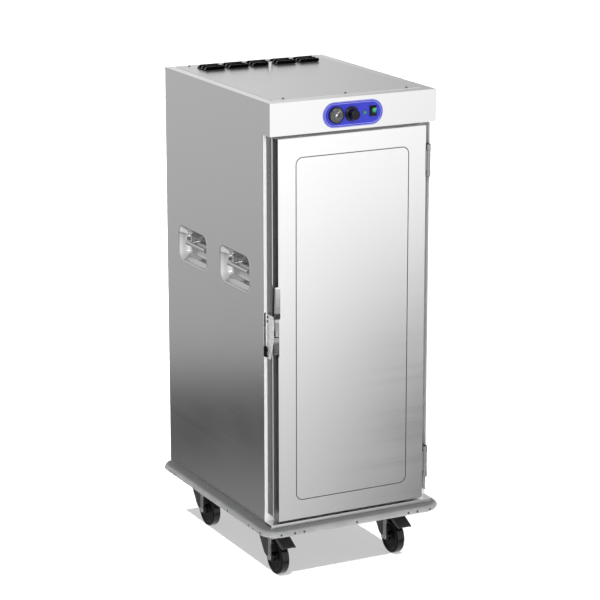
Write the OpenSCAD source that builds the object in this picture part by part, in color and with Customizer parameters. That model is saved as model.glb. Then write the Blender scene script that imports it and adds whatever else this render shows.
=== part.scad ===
// Heated single-door tray cart: an insulated stainless body on four swivel
// casters, with a control header, a wrap-round bumper and tray runners.
// Millimetres, +Z up, +Y towards the back. The origin is on the floor under
// the middle of the cart. Inside the modules x runs from the body's left side,
// y from the header's front face and z from the floor; cart() shifts that
// frame to the origin.

/* [Body] */
// Outside width of the insulated body
body_w = 620; // [560:1:720]
// Depth from the header's front face to the back panel
body_d = 820; // [780:1:900]
// Height from the floor to the top edge of the body
body_h = 1661; // [1560:1:1760]
// Thickness of the outer sheets
skin_t = 1.2; // [1:0.1:2]
// Thickness of the chamber's liner sheets
liner_t = 1; // [1:0.1:2]
// Thickness of the insulated side and back walls, skin to liner
wall_t = 48; // [44:1:54]
// How far the body's front face stands behind the header's front face
body_setback = 51.5; // [48:0.5:60]

/* [Base] */
// Height of the chassis underside above the floor
base_z = 176; // [172:1:190]
// Height of the chassis rails
rail_h = 40; // [36:1:48]
// Width of the chassis rails
rail_w = 30; // [24:1:40]
// Thickness of the chassis steel
rail_t = 2.5; // [2:0.1:3]
// Rise of the door sill above the chassis rails
sill_rise = 8; // [6:0.5:12]
// Height of the sill's front lip
sill_lip = 12; // [10:0.5:14]
// Thickness of the insulated floor, rails to liner
floor_t = 42; // [36:1:60]
// Thickness of the insulated ceiling, liner to header
ceiling_t = 40; // [34:1:60]

/* [Header] */
// Height of the control header
header_h = 109; // [100:1:130]
// Inset of the screwed top cover from the body's sides
cover_inset = 34; // [24:1:38]
// Inset of the top cover from the header's front
cover_front = 46; // [36:1:56]
// Inset of the top cover from the back
cover_back = 16; // [12:1:24]
// Thickness of the top cover
cover_t = 1.2; // [1:0.1:2]

/* [Door] */
// Distance of the door's edges from the body's sides
door_side = 33; // [31:0.5:34]
// Thickness of the door
door_t = 40; // [36:0.5:42]
// How far the door's face stands behind the header's face
door_setback = 7.5; // [6:0.5:9]
// Gap between the sill and the door
door_gap_low = 6; // [4:0.5:8]
// Gap between the door and the header
door_gap_high = 12.5; // [10:0.5:16]
// Thickness of the door's sheets
door_skin_t = 1.2; // [1:0.1:1.5]
// Distance of the pressed groove from the door's edges
groove_inset = 66; // [50:1:90]
// Width of the pressed groove
groove_w = 3.2; // [2:0.1:5]
// Depth of the pressed groove
groove_depth = 1.4; // [1:0.1:2]
// Corner radius of the pressed groove
groove_r = 24; // [15:1:40]
// Width of the door's gasket
gasket_w = 12; // [10:0.5:14]

/* [Door guards] */
// Inset of the two upright guards from the body's sides
guard_inset = 13; // [13:0.5:15]
// Thickness of the guards
guard_t = 3; // [2:0.5:3]
// How far the guards stand out from the body's front face
guard_d = 38; // [34:0.5:40]
// Gap between the sill and the foot of a guard
guard_gap_low = 27; // [20:1:40]

/* [Hinges] */
// Height of a hinge leaf
hinge_h = 110; // [100:1:130]
// Height of a hinge's middle knuckle
knuckle_h = 69; // [60:1:76]
// Radius of the hinge pins
hinge_pin_r = 3; // [2.5:0.1:3.5]
// Outer radius of the hinge knuckles
knuckle_r = 6.6; // [6.2:0.1:7]
// Thickness of the hinge leaves
leaf_t = 2.5; // [2:0.1:2.5]
// Distance of the upper hinge's middle below the door's top edge
hinge_drop = 119.5; // [100:0.5:160]
// Distance of the lower hinge's middle above the door's bottom edge
hinge_rise = 131; // [110:0.5:160]
// Spacing of the three screws in a hinge leaf
hinge_screw_pitch = 19.5; // [18:0.5:24]

/* [Latch] */
// Height of the latch lever's pivot above the door's bottom edge
latch_rise = 683; // [600:1:760]
// Height of the latch housing
latch_h = 118; // [105:1:130]
// Length of the lever from its pivot to its tip
lever_len = 138; // [110:1:150]
// Width of the lever's paddle
lever_w = 16.4; // [14:0.2:16.8]
// Height of the keeper plate
keeper_h = 151; // [140:1:170]

/* [Side handles] */
// Width of a recessed handle cup
cup_w = 229; // [200:1:240]
// Height of a handle cup
cup_h = 126; // [110:1:140]
// Depth of a handle cup
cup_depth = 38; // [30:1:40]
// Corner radius of a handle cup's mouth
cup_r = 34; // [26:1:40]
// Height of the handle cups' middle above the floor
cup_z = 1055; // [900:1:1200]
// Distance of the front cups' middle from the header's face
cup_front_y = 269; // [250:1:290]
// Distance between the middles of the two cups on a side
cup_pitch = 337; // [320:1:350]
// Radius of the grip bar in each cup
grip_r = 8.5; // [6:0.5:9]
// Length of the grip bar in each cup
grip_l = 150; // [120:1:160]

/* [Controls] */
// Width of the control fascia
fascia_w = 223; // [218:1:240]
// Height of the control fascia
fascia_h = 85; // [80:1:90]
// Thickness of the control fascia
fascia_t = 1.2; // [0.8:0.1:2]
// Radius of the thermometer's bezel
dial_r = 27.5; // [26:0.5:29]
// Radius of the thermostat knob's skirt
knob_r = 25; // [22:0.5:26]
// Radius of the indicator lamp
lamp_r = 6.5; // [5:0.5:8]
// Width of the rocker switch's housing
switch_w = 26; // [24:0.5:28]
// Height of the rocker switch's housing
switch_h = 35; // [33:0.5:38]

/* [Vents] */
// Number of vents along the back of the top cover
vent_count = 5; // [3:1:5]
// Distance between the vents' middles
vent_pitch = 92; // [88:1:96]
// Width of a louvre hood
louvre_w = 76; // [66:1:80]
// Height of a louvre hood
louvre_h = 14; // [11:0.5:16]
// Distance between the louvre hoods of one vent
louvre_pitch = 26; // [24:0.5:28]
// Radius of the vent pipe
pipe_r = 8; // [6:0.5:10]
// Height of the vent pipe above the top cover
pipe_h = 25; // [20:1:40]

/* [Bumper] */
// How far the bumper stands out from the chassis
bumper_d = 34; // [28:1:40]
// Height of the bumper
bumper_h = 30; // [26:1:34]
// Distance of the bumper's underside above the chassis underside
bumper_rise = 5; // [2:0.5:5.5]
// Outer corner radius of the bumper
bumper_r = 70; // [60:1:90]
// Length of a corner moulding's legs along the chassis
corner_leg = 90; // [80:1:120]

/* [Casters] */
// Radius of the wheels
wheel_r = 62.5; // [58:0.5:64]
// Width of the wheels' tread
wheel_w = 30; // [26:0.5:31]
// Distance of the swivel axes from the body's sides
swivel_inset = 84; // [75:1:100]
// Distance of the front swivel axes from the header's face
swivel_front_y = 160; // [150:1:190]
// Distance of the rear swivel axes from the back panel
swivel_rear_y = 112; // [100:1:150]
// Horizontal distance from a swivel axis to its wheel's axle
trail = 40; // [34:0.5:44]
// Radius of the wheel axles
axle_r = 6; // [5:0.5:6]
// Thickness of the forks' legs
fork_t = 2.5; // [2:0.1:3]

/* [Chamber] */
// Number of tray levels
levels = 11; // [6:1:11]
// Distance between the tray levels
level_pitch = 104; // [90:1:106]
// Height of the lowest runner above the chamber floor
first_level = 62; // [58:1:66]
// Depth of the rack's uprights, from the liner to the runners
post_d = 29; // [20:1:32]
// Gap between the runners and the chamber's back
rack_back = 47.3; // [40:0.1:60]
// Width of a runner's ledge
ledge_w = 22; // [16:1:26]

/* [Heating] */
// Radius of the fan wheel
fan_r = 75; // [60:1:80]
// Height of the space above the ceiling baffle
baffle_drop = 50; // [44:1:58]
// Width of the water pan
pan_w = 320; // [240:1:340]
// Length of the water pan
pan_l = 400; // [300:1:420]
// Height of the water pan
pan_h = 38; // [30:1:40]

/* [Hidden] */
$fn = 48;

// Clearances
seam = 0.2;        // open seam between welded sheets
run = 0.05;        // radial clearance of a running fit
ease = 0.3;        // gap between neighbouring curved faces
eps = 0.01;        // overshoot of a cut

// Body levels
body_z = base_z + rail_h;
sill_z = body_z + sill_rise;
header_z = body_h - header_h;
chamber_z = body_z + floor_t + liner_t;
chamber_top = header_z - ceiling_t - liner_t;
chamber_back = body_d - wall_t;
frame_back = body_setback + skin_t;

// Door
door_x = door_side;
door_w = body_w - 2 * door_side;
door_z = sill_z + door_gap_low;
door_h = header_z - door_gap_high - door_z;
door_back = door_setback + door_t;
hinge_z = [door_z + hinge_rise, door_z + door_h - hinge_drop];
hinge_gap = body_w - guard_inset - guard_t - (door_x + door_w);
hinge_x = door_x + door_w + hinge_gap / 2;
hinge_y = door_setback - 4;
guard_y = body_setback - guard_d / 2;
keeper_y = body_setback - 9.5;

// Latch
cheek_t = 2;
latch_x = guard_inset + guard_t + 1.6;
pivot_y = door_setback + 6;
pivot_z = door_z + latch_rise;
pivot_r = 3;
latch_z = pivot_z + 14 - latch_h;
latch_front = door_setback - 6;
hub_x = latch_x + cheek_t + ease;
hub_w = door_x - cheek_t - ease - hub_x;

// Controls
fascia_x = body_w / 2 - 5;
fascia_z = header_z + header_h / 2 - 2;
dial_x = fascia_x - 64;
knob_x = fascia_x - 6;
lamp_x = fascia_x + 43.5;
switch_x = fascia_x + 74;
switch_z = fascia_z + 3.5;
shaft_r = 3;
pointer_r = 1.5;

// Top cover
cover_top = body_h + cover_t;
cover_lap = 26;
rim_w = cover_inset + 12;
vent_y = body_d - 148;
louvre_t = 1.2;
louvre_d = 20;
pipe_x = body_w / 2;
pipe_y = vent_y - 54;

// Handles
cup_t = 1.2;
cup_taper = 0.78;
cup_lip = 4;
cup_ys = [cup_front_y, cup_front_y + cup_pitch];

// Bumper
bumper_z = base_z + bumper_rise + bumper_h / 2;
bumper_in = bumper_r - bumper_d;
bumper_sink = bumper_d - 4;

// Casters
caster_h = base_z;
plate_t = 4;
race_z = caster_h - 13;
crown_z = race_z - 9;
crown_t = 3;
king_r = 6;
hub_half = wheel_w / 2 + 12.5;
leg_in = hub_half + 0.8;
leg_out = leg_in + fork_t;
rib_t = 2;
pedal_y = -62;
pedal_z = crown_z - 12;
pedal_pin_r = 3;
pedal_t = 2;
pedal_half = 24;
pedal_tip = [-127, crown_z - 35];
bolt_r = 4.4;

// Tray rack
rack_y = frame_back + 12;
runner_len = chamber_back - rack_back - rack_y;
post_w = 28;

// Heating
fan_y = body_setback + (chamber_back - body_setback) / 2;
fan_x = body_w / 2;
baffle_z = chamber_top - baffle_drop;
fan_shaft_r = 4;
motor_r = 44;
motor_h = 52;
heater_gap = 30;

// Shifts the body's own coordinates to the part's origin.
module cart() translate([-body_w / 2, -body_d / 2, 0]) children();

// A box between two opposite corners.
module block(a, b) translate(a) cube(b - a);

// Children and their mirror image on the other side of the body.
module both_sides() {
  children();
  translate([body_w, 0, 0]) mirror([1, 0, 0]) children();
}

// A flat rectangle with round corners, centred.
module rounded(w, h, r) {
  square([w - 2 * r, h], center = true);
  square([w, h - 2 * r], center = true);
  for (x = [-1, 1], y = [-1, 1])
    translate([x * (w / 2 - r), y * (h / 2 - r)]) circle(r);
}

// A round rod along Y, X or Z from a point.
module rod_y(p, r, l) translate(p) rotate([-90, 0, 0]) cylinder(r = r, h = l);
module rod_x(p, r, l) translate(p) rotate([0, 90, 0]) cylinder(r = r, h = l);
module rod_z(p, r, l) translate(p) cylinder(r = r, h = l);

// A flat outline in X and Z, extruded towards the back from y.
module front_plate(x, y, z, t)
  translate([x, y + t, z]) rotate([90, 0, 0]) linear_extrude(t) children();

// A flat outline in Y and Z, extruded to the right from x.
module side_plate(x, t)
  translate([x, 0, 0]) rotate([90, 0, 90]) linear_extrude(t) children();

// ---------------------------------------------------------------- chassis

// A channel along X with its open side towards +Y.
module channel(l) side_plate(0, l) difference() {
  square([rail_w, rail_h]);
  translate([rail_t, rail_t]) square([rail_w, rail_h - 2 * rail_t]);
}

module base_frame() color("silver") cart() {
  inner_w = body_w - 2 * rail_w - 2 * seam;
  difference() {
    union() {
      both_sides() {
        translate([0, body_d, base_z]) rotate([0, 0, -90]) channel(body_d);
        for (y = [0, body_d - rail_t])
          block([0, y, base_z], [rail_w, y + rail_t, body_z]);
      }
      for (end = [0, 1])
        translate([rail_w + seam, end * body_d, base_z])
          mirror([0, end, 0]) channel(inner_w);
    }
    at_bumper_screws() cylinder(r = 2 + run, h = 2 * bumper_d,
                                center = true);
  }
  // deck between the rails
  block([rail_w + seam, rail_w + seam, body_z - rail_t],
        [body_w - rail_w - seam, body_d - rail_w - seam, body_z]);
  // two hat channels that carry the casters
  for (y = [swivel_front_y, body_d - swivel_rear_y])
    translate([rail_w + seam, y, base_z]) difference() {
      side_plate(0, inner_w) difference() {
        translate([-60, 0]) square([120, rail_h - rail_t - seam]);
        translate([-60 + rail_t, rail_t])
          square([120 - 2 * rail_t, rail_h]);
      }
      for (x = [swivel_inset, body_w - swivel_inset])
        translate([x - rail_w - seam, 0, 0]) plate_bolts_at()
          cylinder(r = bolt_r + run, h = 10, center = true);
    }
}

module front_sill() color("gainsboro") cart() {
  top = sill_z;
  block([0, -skin_t, top - skin_t], [body_w, body_setback, top]);
  block([0, -skin_t, top - sill_lip], [body_w, 0, top]);
  block([0, body_setback - skin_t, body_z], [body_w, body_setback, top]);
}

// ------------------------------------------------------------------- body

// Outline of a handle cup's mouth, centred, with room for the cup.
module cup_mouth(grow = 0)
  rounded(cup_w + 2 * grow, cup_h + 2 * grow, cup_r + grow);

// One sheet a side, from the chassis to the top edge of the header.
module side_panels() color("lightgray") cart() both_sides() difference() {
  union() {
    block([0, body_setback, body_z], [skin_t, body_d - skin_t, body_h]);
    block([0, 0, header_z], [skin_t, body_setback + 1, body_h]);
  }
  side_plate(-1, skin_t + 2)
    for (y = cup_ys) translate([y, cup_z]) cup_mouth();
}

inlet_x = body_w - 130;
inlet_z = header_z + header_h / 2;
module back_panel() color("lightgray") cart() difference() {
  block([0, body_d - skin_t, body_z], [body_w, body_d, body_h]);
  front_plate(inlet_x, body_d - 10, inlet_z, 20)
    square([32, 26], center = true);
}

module inner_liner() color("whitesmoke") cart() {
  y0 = frame_back + seam;
  y1 = chamber_back;
  // sides
  both_sides()
    block([wall_t - liner_t, y0, chamber_z - liner_t],
          [wall_t, y1, chamber_top + liner_t]);
  // floor and ceiling
  block([wall_t + seam, y0, chamber_z - liner_t],
        [body_w - wall_t - seam, y1, chamber_z]);
  difference() {
    block([wall_t + seam, y0, chamber_top],
          [body_w - wall_t - seam, y1, chamber_top + liner_t]);
    rod_z([fan_x, fan_y, chamber_top - 1], fan_shaft_r + 3, 5);
  }
  // back
  block([wall_t - liner_t, y1 + seam, chamber_z - liner_t],
        [body_w - wall_t + liner_t, y1 + liner_t, chamber_top + liner_t]);
}

// Insulation batts, cut to fit between the skins and the liner.
module insulation() color("khaki") cart() {
  x0 = skin_t;
  x1 = wall_t - liner_t;
  y0 = frame_back;
  y1 = body_d - skin_t;
  half_h = cup_h / 2 + cup_lip + 2;
  half_w = cup_w / 2 + cup_lip + 2;
  cup_lo = cup_z - half_h;
  cup_hi = cup_z + half_h;
  both_sides() {
    block([x0, y0, body_z], [x1, y1, cup_lo - seam]);
    block([x0, y0, cup_hi + seam], [x1, y1, header_z]);
    block([x0, y0, cup_lo], [x1, cup_ys[0] - half_w, cup_hi]);
    block([x0, cup_ys[0] + half_w, cup_lo], [x1, cup_ys[1] - half_w, cup_hi]);
    block([x0, cup_ys[1] + half_w, cup_lo], [x1, y1, cup_hi]);
    for (y = cup_ys)
      block([cup_depth + cup_t + ease, y - half_w + seam, cup_lo],
            [x1, y + half_w - seam, cup_hi]);
  }
  block([x1 + seam, y0, body_z],
        [body_w - x1 - seam, y1, chamber_z - liner_t]);
  difference() {
    block([x1 + seam, y0, chamber_top + liner_t],
          [body_w - x1 - seam, y1, header_z]);
    rod_z([fan_x, fan_y, chamber_top], fan_shaft_r + 3, ceiling_t + 5);
  }
  block([x1 + seam, chamber_back + liner_t, chamber_z - liner_t + seam],
        [body_w - x1 - seam, y1, chamber_top + liner_t - seam]);
}

module front_frame() color("gainsboro") cart() {
  y0 = body_setback;
  both_sides()
    block([skin_t, y0, body_z], [wall_t, frame_back, header_z]);
  block([wall_t + seam, y0, body_z],
        [body_w - wall_t - seam, frame_back, chamber_z]);
  block([wall_t + seam, y0, chamber_top],
        [body_w - wall_t - seam, frame_back, header_z]);
}

// Upright guards beside the door, drilled for hinges on either side.
module door_guards() color("gray") cart() both_sides() difference() {
  block([guard_inset, body_setback - guard_d, sill_z + guard_gap_low],
        [guard_inset + guard_t, body_setback, header_z - 6]);
  for (z = hinge_z, i = [-1 : 1])
    rod_x([guard_inset - 1, guard_y, z + i * hinge_screw_pitch],
          2 + run, guard_t + 2);
  for (z = keeper_screws)
    rod_x([guard_inset - 1, keeper_y, z], 1.8 + run, guard_t + 2);
}

// ----------------------------------------------------------------- header

module header_box() color("gainsboro") cart() difference() {
  block([skin_t, 0, header_z], [body_w - skin_t, body_d - skin_t, body_h]);
  block([2 * skin_t, skin_t, header_z + skin_t],
        [body_w - 2 * skin_t, body_d - 2 * skin_t, body_h - skin_t]);
  block([rim_w, cover_front + cover_lap, body_h - 2 * skin_t],
        [body_w - rim_w, body_d - cover_back - cover_lap, body_h + 1]);
  for (p = cover_screws()) rod_z([p.x, p.y, body_h - 5], 2 + run, 10);
  // openings behind the control fascia
  rod_y([dial_x, -1, fascia_z], dial_r - 3, 4);
  rod_y([knob_x, -1, fascia_z], shaft_r + 2, 4);
  rod_y([lamp_x, -1, fascia_z], lamp_r - 1.5, 4);
  front_plate(switch_x, -1, switch_z, 4)
    square([switch_w - 4, switch_h - 4], center = true);
  // power inlet and fan shaft
  front_plate(inlet_x, body_d - 10, inlet_z, 20)
    square([32, 26], center = true);
  rod_z([fan_x, fan_y, header_z - 1], fan_shaft_r + 3, 4);
}

module top_cover() color("gainsboro") cart() difference() {
  block([cover_inset, cover_front, body_h],
        [body_w - cover_inset, body_d - cover_back, cover_top]);
  for (x = vent_xs()) block([x - louvre_w / 2 + 6, vent_y + 4, body_h - 1],
        [x + louvre_w / 2 - 6, vent_y + 2 * louvre_pitch + 16, body_h + 5]);
  rod_z([pipe_x, pipe_y, body_h - 1], pipe_r + 0.1, 5);
  for (p = cover_screws()) rod_z([p.x, p.y, body_h - 1], 2 + run, 5);
}

// Middles of the vents across the cover.
function vent_xs() = [for (i = [0 : vent_count - 1])
  body_w / 2 + (i - (vent_count - 1) / 2) * vent_pitch];

// Screws along the front and back edges of the cover.
function cover_screws() = [
  for (x = [cover_inset + 46, body_w / 2, body_w - cover_inset - 46],
       y = [cover_front + 16, body_d - cover_back - 14]) [x, y]];

// Three raised louvre hoods, open to the front, pressed from one insert.
module louvre_insert() {
  hood_w = louvre_w;
  base_l = 2 * louvre_pitch + louvre_d + 4;
  difference() {
    union() {
      translate([-hood_w / 2 - 3, -2, 0])
        cube([hood_w + 6, base_l, louvre_t]);
      for (i = [0 : 2]) translate([0, i * louvre_pitch, 0]) hood(0);
    }
    for (i = [0 : 2]) translate([0, i * louvre_pitch, 0]) {
      hood(louvre_t);
      translate([-hood_w / 2 + 8, 4, -1])
        cube([hood_w - 16, louvre_d - 8, louvre_h / 2]);
    }
  }
}

// One hood, or with a wall thickness its hollow, with round ends.
module hood(wall)
  translate([0, wall > 0 ? -1 : 0, louvre_h / 2]) rotate([-90, 0, 0])
    linear_extrude(louvre_d - (wall > 0 ? wall - 1 : 0)) {
      r = louvre_h / 2 - wall;
      for (s = [-1, 1]) translate([s * (louvre_w - louvre_h) / 2, 0])
        circle(r);
      square([louvre_w - louvre_h, 2 * r], center = true);
    }

module vent_louvres() color("black") cart()
  for (x = vent_xs()) translate([x, vent_y, cover_top]) louvre_insert();

module vent_pipe() color("silver") cart() translate([pipe_x, pipe_y, 0])
  rotate_extrude() {
    translate([pipe_r - 1.5, body_h - 40])
      square([1.5, pipe_h + 40 + cover_t]);
    translate([pipe_r - 1.5, cover_top]) square([4.5, 2]);
  }

// A pan-head screw with its head's underside at the origin, head towards +Z.
module screw(head_r = 4.5, shank_r = 2, l = 8) rotate_extrude()
  polygon([[0, -l], [shank_r, -l], [shank_r, 0], [head_r, 0], [head_r, 1.4],
           [head_r * 0.6, 2.4], [0, 2.4]]);

module body_screws() color("darkgray") cart() {
  for (p = cover_screws()) translate([p.x, p.y, cover_top]) screw();
  // bumper screws, sunk in their counterbores
  at_bumper_screws() screw(4, 2, bumper_sink + rail_t + 1);
  // keeper screws
  for (z = keeper_screws) translate([guard_inset - leaf_t, keeper_y, z])
    rotate([0, -90, 0]) screw(3.2, 1.8, leaf_t + guard_t);
  // hinge screws on the guard
  for (z = hinge_z, i = [-1 : 1])
    translate([body_w - guard_inset, guard_y, z + i * hinge_screw_pitch])
      rotate([0, 90, 0]) screw(3.2, 2, guard_t + leaf_t);
  // caster bolts, their nuts inside the hat channels
  for (i = [0 : 3]) at_swivel(i) translate([0, 0, caster_h - plate_t])
    plate_bolts_at() {
      translate([0, 0, -5]) cylinder(r = 7.5, h = 5, $fn = 6);
      translate([0, 0, -eps]) cylinder(r = bolt_r, h = plate_t + rail_t + 9);
      translate([0, 0, plate_t + rail_t]) cylinder(r = 7.5, h = 7, $fn = 6);
    }
}

// --------------------------------------------------------------- controls

module control_fascia() color("royalblue") cart() difference() {
  front_plate(fascia_x, -fascia_t, fascia_z, fascia_t)
    rounded(fascia_w, fascia_h, fascia_h / 2 - eps);
  rod_y([dial_x, -5, fascia_z], dial_r - 3, 10);
  rod_y([knob_x, -5, fascia_z], shaft_r + 2, 10);
  rod_y([lamp_x, -5, fascia_z], lamp_r - 1.5, 10);
  front_plate(switch_x, -5, switch_z, 10)
    square([switch_w - 4, switch_h - 4], center = true);
}

// Round parts of the thermometer, turned about its pointer's axis.
module turned_y(x, z) translate([x, -fascia_t, z]) rotate([90, 0, 0])
  rotate_extrude() children();

dial_face = 4;     // how far the dial stands out from the fascia
bezel_face = 8;    // how far the bezel stands out
module thermometer_case() color("black") cart() turned_y(dial_x, fascia_z) {
  polygon([[0, -22], [dial_r - 3.5, -22], [dial_r - 3.5, 0], [dial_r, 0],
    [dial_r, bezel_face - 1.5], [dial_r - 1.5, bezel_face],
    [dial_r - 2.5, bezel_face], [dial_r - 3, bezel_face - 2],
    [dial_r - 3, dial_face - 1], [0, dial_face - 1]]);
  // dial plate
  translate([0, dial_face - 1]) square([dial_r - 3.2, 0.8]);
}

module thermometer_pointer() color("white") cart()
  translate([dial_x, -fascia_t - dial_face + 0.2 - 0.9, fascia_z])
    rotate([90, 0, 0]) {
      cylinder(r = pointer_r * 2, h = 0.8);
      rotate([0, 0, 48]) translate([-6, -0.5, 0])
        cube([dial_r * 0.62 + 6, 1, 0.5]);
    }

module thermometer_lens() color("lightcyan") cart()
  turned_y(dial_x, fascia_z)
    translate([0, bezel_face - 2]) square([dial_r - 3.1, 1.2]);

module thermostat_body() color("beige") cart() difference() {
  block([knob_x - 22, skin_t, fascia_z - 22],
        [knob_x + 22, skin_t + 34, fascia_z + 22]);
  rod_y([knob_x, -1, fascia_z], shaft_r + run, 26);
}

knob_l = 31.5;      // how far the knob stands out
module thermostat_knob() color("black") cart()
  translate([knob_x, -fascia_t - 0.6, fascia_z]) rotate([90, 0, 0]) {
    // skirt, dished shoulder and barrel
    rotate_extrude() polygon([[0, 0], [knob_r, 0], [knob_r, 1.6],
      [knob_r - 1.6, 3.6], [knob_r * 0.8, 6.4], [knob_r * 0.72, 9.5],
      [knob_r * 0.69, 13], [knob_r * 0.66, knob_l - 3],
      [knob_r * 0.6, knob_l - 0.8], [knob_r * 0.5, knob_l], [0, knob_l]]);
    translate([0, 0, -22]) cylinder(r = shaft_r, h = 23);
  }

module indicator_lamp() color("green") cart() turned_y(lamp_x, fascia_z)
  polygon([[0, -16], [lamp_r - 1.8, -16], [lamp_r - 1.8, 0], [lamp_r, 0],
    [lamp_r, 1.2], [lamp_r - 1, 2], [lamp_r * 0.7, 4], [lamp_r * 0.35, 5],
    [0, 5.3]]);

rocker_hollow = 8;  // depth of the switch housing's well behind the fascia
rocker_tilt = 14;   // tilt of the rocker at rest
rocker_pin_r = 1.5;
module rocker_housing() color("black") cart() difference() {
  union() {
    front_plate(switch_x, -fascia_t - 2.5, switch_z, 2.5)
      square([switch_w, switch_h], center = true);
    front_plate(switch_x, -fascia_t, switch_z, 20)
      square([switch_w - 4.4, switch_h - 4.4], center = true);
  }
  front_plate(switch_x, -10, switch_z, 10 + rocker_hollow)
    square([switch_w - 7, switch_h - 7], center = true);
  rod_x([switch_x - switch_w / 2 + 2.6, -fascia_t, switch_z],
        rocker_pin_r + run, switch_w - 5.2);
}

// Rocker, tilted about its pin with the upper half standing out.
module rocker() color("limegreen") cart()
  translate([switch_x, -fascia_t, switch_z]) {
    w = switch_w - 8;
    l = switch_h - 9.5;
    rotate([rocker_tilt, 0, 0]) translate([-w / 2, 0, 0]) rotate([90, 0, 90])
      linear_extrude(w) polygon([[4, 3 - l / 2], [-7.5, -l / 2],
        [-6.2, -l / 4], [-5.4, 0], [-6.2, l / 4], [-7.5, l / 2],
        [4, l / 2 - 3]]);
    rod_x([-switch_w / 2 + 3, 0, 0], rocker_pin_r, switch_w - 6);
  }

module power_inlet() color("black") cart()
  translate([inlet_x, body_d, inlet_z]) difference() {
    union() {
      front_plate(0, 0, 0, 3) rounded(50, 34, 4);
      front_plate(0, -24, 0, 24) square([31.6, 25.6], center = true);
    }
    difference() {
      front_plate(0, -19, 0, 23) square([27, 20], center = true);
      for (p = [[-7, 2], [7, 2], [0, -3]])
        front_plate(p.x, -20, p.y, 16) square([2, 5], center = true);
    }
  }

// ---------------------------------------------------------------- heating

module fan_motor() color("darkgray") cart() difference() {
  union() {
    rod_z([fan_x, fan_y, header_z + skin_t], motor_r, motor_h);
    rod_z([fan_x, fan_y, header_z + skin_t + motor_h], motor_r * 0.68,
          motor_h * 0.15);
    translate([fan_x - motor_r * 1.4, fan_y - motor_r * 0.36,
               header_z + skin_t])
      cube([motor_r * 2.8, motor_r * 0.72, 3]);
  }
  rod_z([fan_x, fan_y, header_z], fan_shaft_r + run, 50);
}

// Backward-leaning blades on a disc, with the shaft that drives them.
module fan_wheel() color("silver") cart()
  translate([fan_x, fan_y, baffle_z + 10]) {
    cylinder(r = 14, h = 22);
    translate([0, 0, 24]) cylinder(r = fan_r, h = 1.5);
    translate([0, 0, 22 - eps]) cylinder(r = 14, h = 3);
    for (i = [0 : 11]) rotate([0, 0, i * 30]) translate([22, 0, 0])
      rotate([0, 0, 35]) cube([fan_r * 0.62, 1.5, 24 + eps]);
    cylinder(r = fan_shaft_r, h = header_z - baffle_z + 30);
  }

heater_r = 4.2;     // radius of the tubular element
module heater_element() color("dimgray") cart() {
  z = baffle_z + 20;
  ring_r = fan_r + heater_gap;
  translate([fan_x, fan_y, z]) rotate([0, 0, 100]) rotate_extrude(angle = 340)
    translate([ring_r, 0]) circle(heater_r);
  // cold ends up through the ceiling
  for (a = [100, 80]) translate([fan_x + ring_r * cos(a),
      fan_y + ring_r * sin(a), z - heater_r])
    cylinder(r = heater_r + 0.8, h = chamber_top - z + heater_r);
}

module ceiling_baffle() color("lightgray") cart() difference() {
  union() {
    block([wall_t + 50, frame_back + 40, baffle_z],
          [body_w - wall_t - 50, chamber_back - 40, baffle_z + 1.2]);
    for (s = [0, 1]) block(
      [s ? body_w - wall_t - 51.2 : wall_t + 50, frame_back + 40, baffle_z],
      [s ? body_w - wall_t - 50 : wall_t + 51.2, chamber_back - 40,
       chamber_top]);
  }
  // fan intake grille
  for (i = [-4 : 4]) let (y = i * 13, half = sqrt(62 * 62 - y * y))
    block([fan_x - half, fan_y + y - 4, baffle_z - 1],
          [fan_x + half, fan_y + y + 4, baffle_z + 3]);
}

module water_pan() color("silver") cart() difference() {
  x0 = (body_w - pan_w) / 2;
  y0 = chamber_back - 40 - pan_l;
  block([x0, y0, chamber_z], [x0 + pan_w, y0 + pan_l, chamber_z + pan_h]);
  block([x0 + 1.2, y0 + 1.2, chamber_z + 1.2],
        [x0 + pan_w - 1.2, y0 + pan_l - 1.2, chamber_z + pan_h + 1]);
}

// ------------------------------------------------------------------- rack

module rack_uprights() color("silver") cart() both_sides()
  for (y = [rack_y + 10, rack_y + runner_len / 2 - post_w / 2,
            rack_y + runner_len - 10 - post_w])
    translate([wall_t, y, chamber_z]) linear_extrude(rack_h()) difference() {
      square([post_d - 1.5, post_w]);
      translate([-1, 2]) square([post_d - 4.5 + 1, post_w - 4]);
    }

function level_z(i) = chamber_z + first_level + i * level_pitch;
function rack_h() = first_level + (levels - 1) * level_pitch + 20;

// Angle runners: the tray's edge rides on the ledge.
module tray_runners() color("lightgray") cart() both_sides()
  for (i = [0 : levels - 1]) translate([wall_t + post_d - 1.5, rack_y,
                                        level_z(i)])
    rotate([90, 0, 0]) mirror([0, 0, 1]) linear_extrude(runner_len)
      polygon([[0, -18], [1.5, -18], [1.5, -1.5], [ledge_w, -1.5],
               [ledge_w, 0], [0, 0]]);

// ---------------------------------------------------------------- handles

// The hollow of a handle cup, mouth in the plane x = 0, running inwards.
module cup_form(grow, depth)
  rotate([90, 0, 90]) linear_extrude(depth, scale = cup_taper)
    rounded(cup_w + 2 * grow, cup_h + 2 * grow, cup_r + grow, $fn = 32);

module handle_cup() difference() {
  union() {
    cup_form(-ease, cup_depth + cup_t);
    translate([-0.8, 0, 0]) rotate([90, 0, 90]) linear_extrude(0.8)
      rounded(cup_w + 2 * cup_lip, cup_h + 2 * cup_lip, cup_r + cup_lip);
  }
  translate([-1, 0, 0]) cup_form(-cup_t - ease, cup_depth + 1);
}

module at_cups() both_sides() for (y = cup_ys) translate([0, y, cup_z])
  children();

module handle_cups() color("silver") cart() at_cups() handle_cup();

grip_x = 14;        // depth of the grip bar behind the side panel
grip_z = 4;         // rise of the grip bar above the cup's middle
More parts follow.
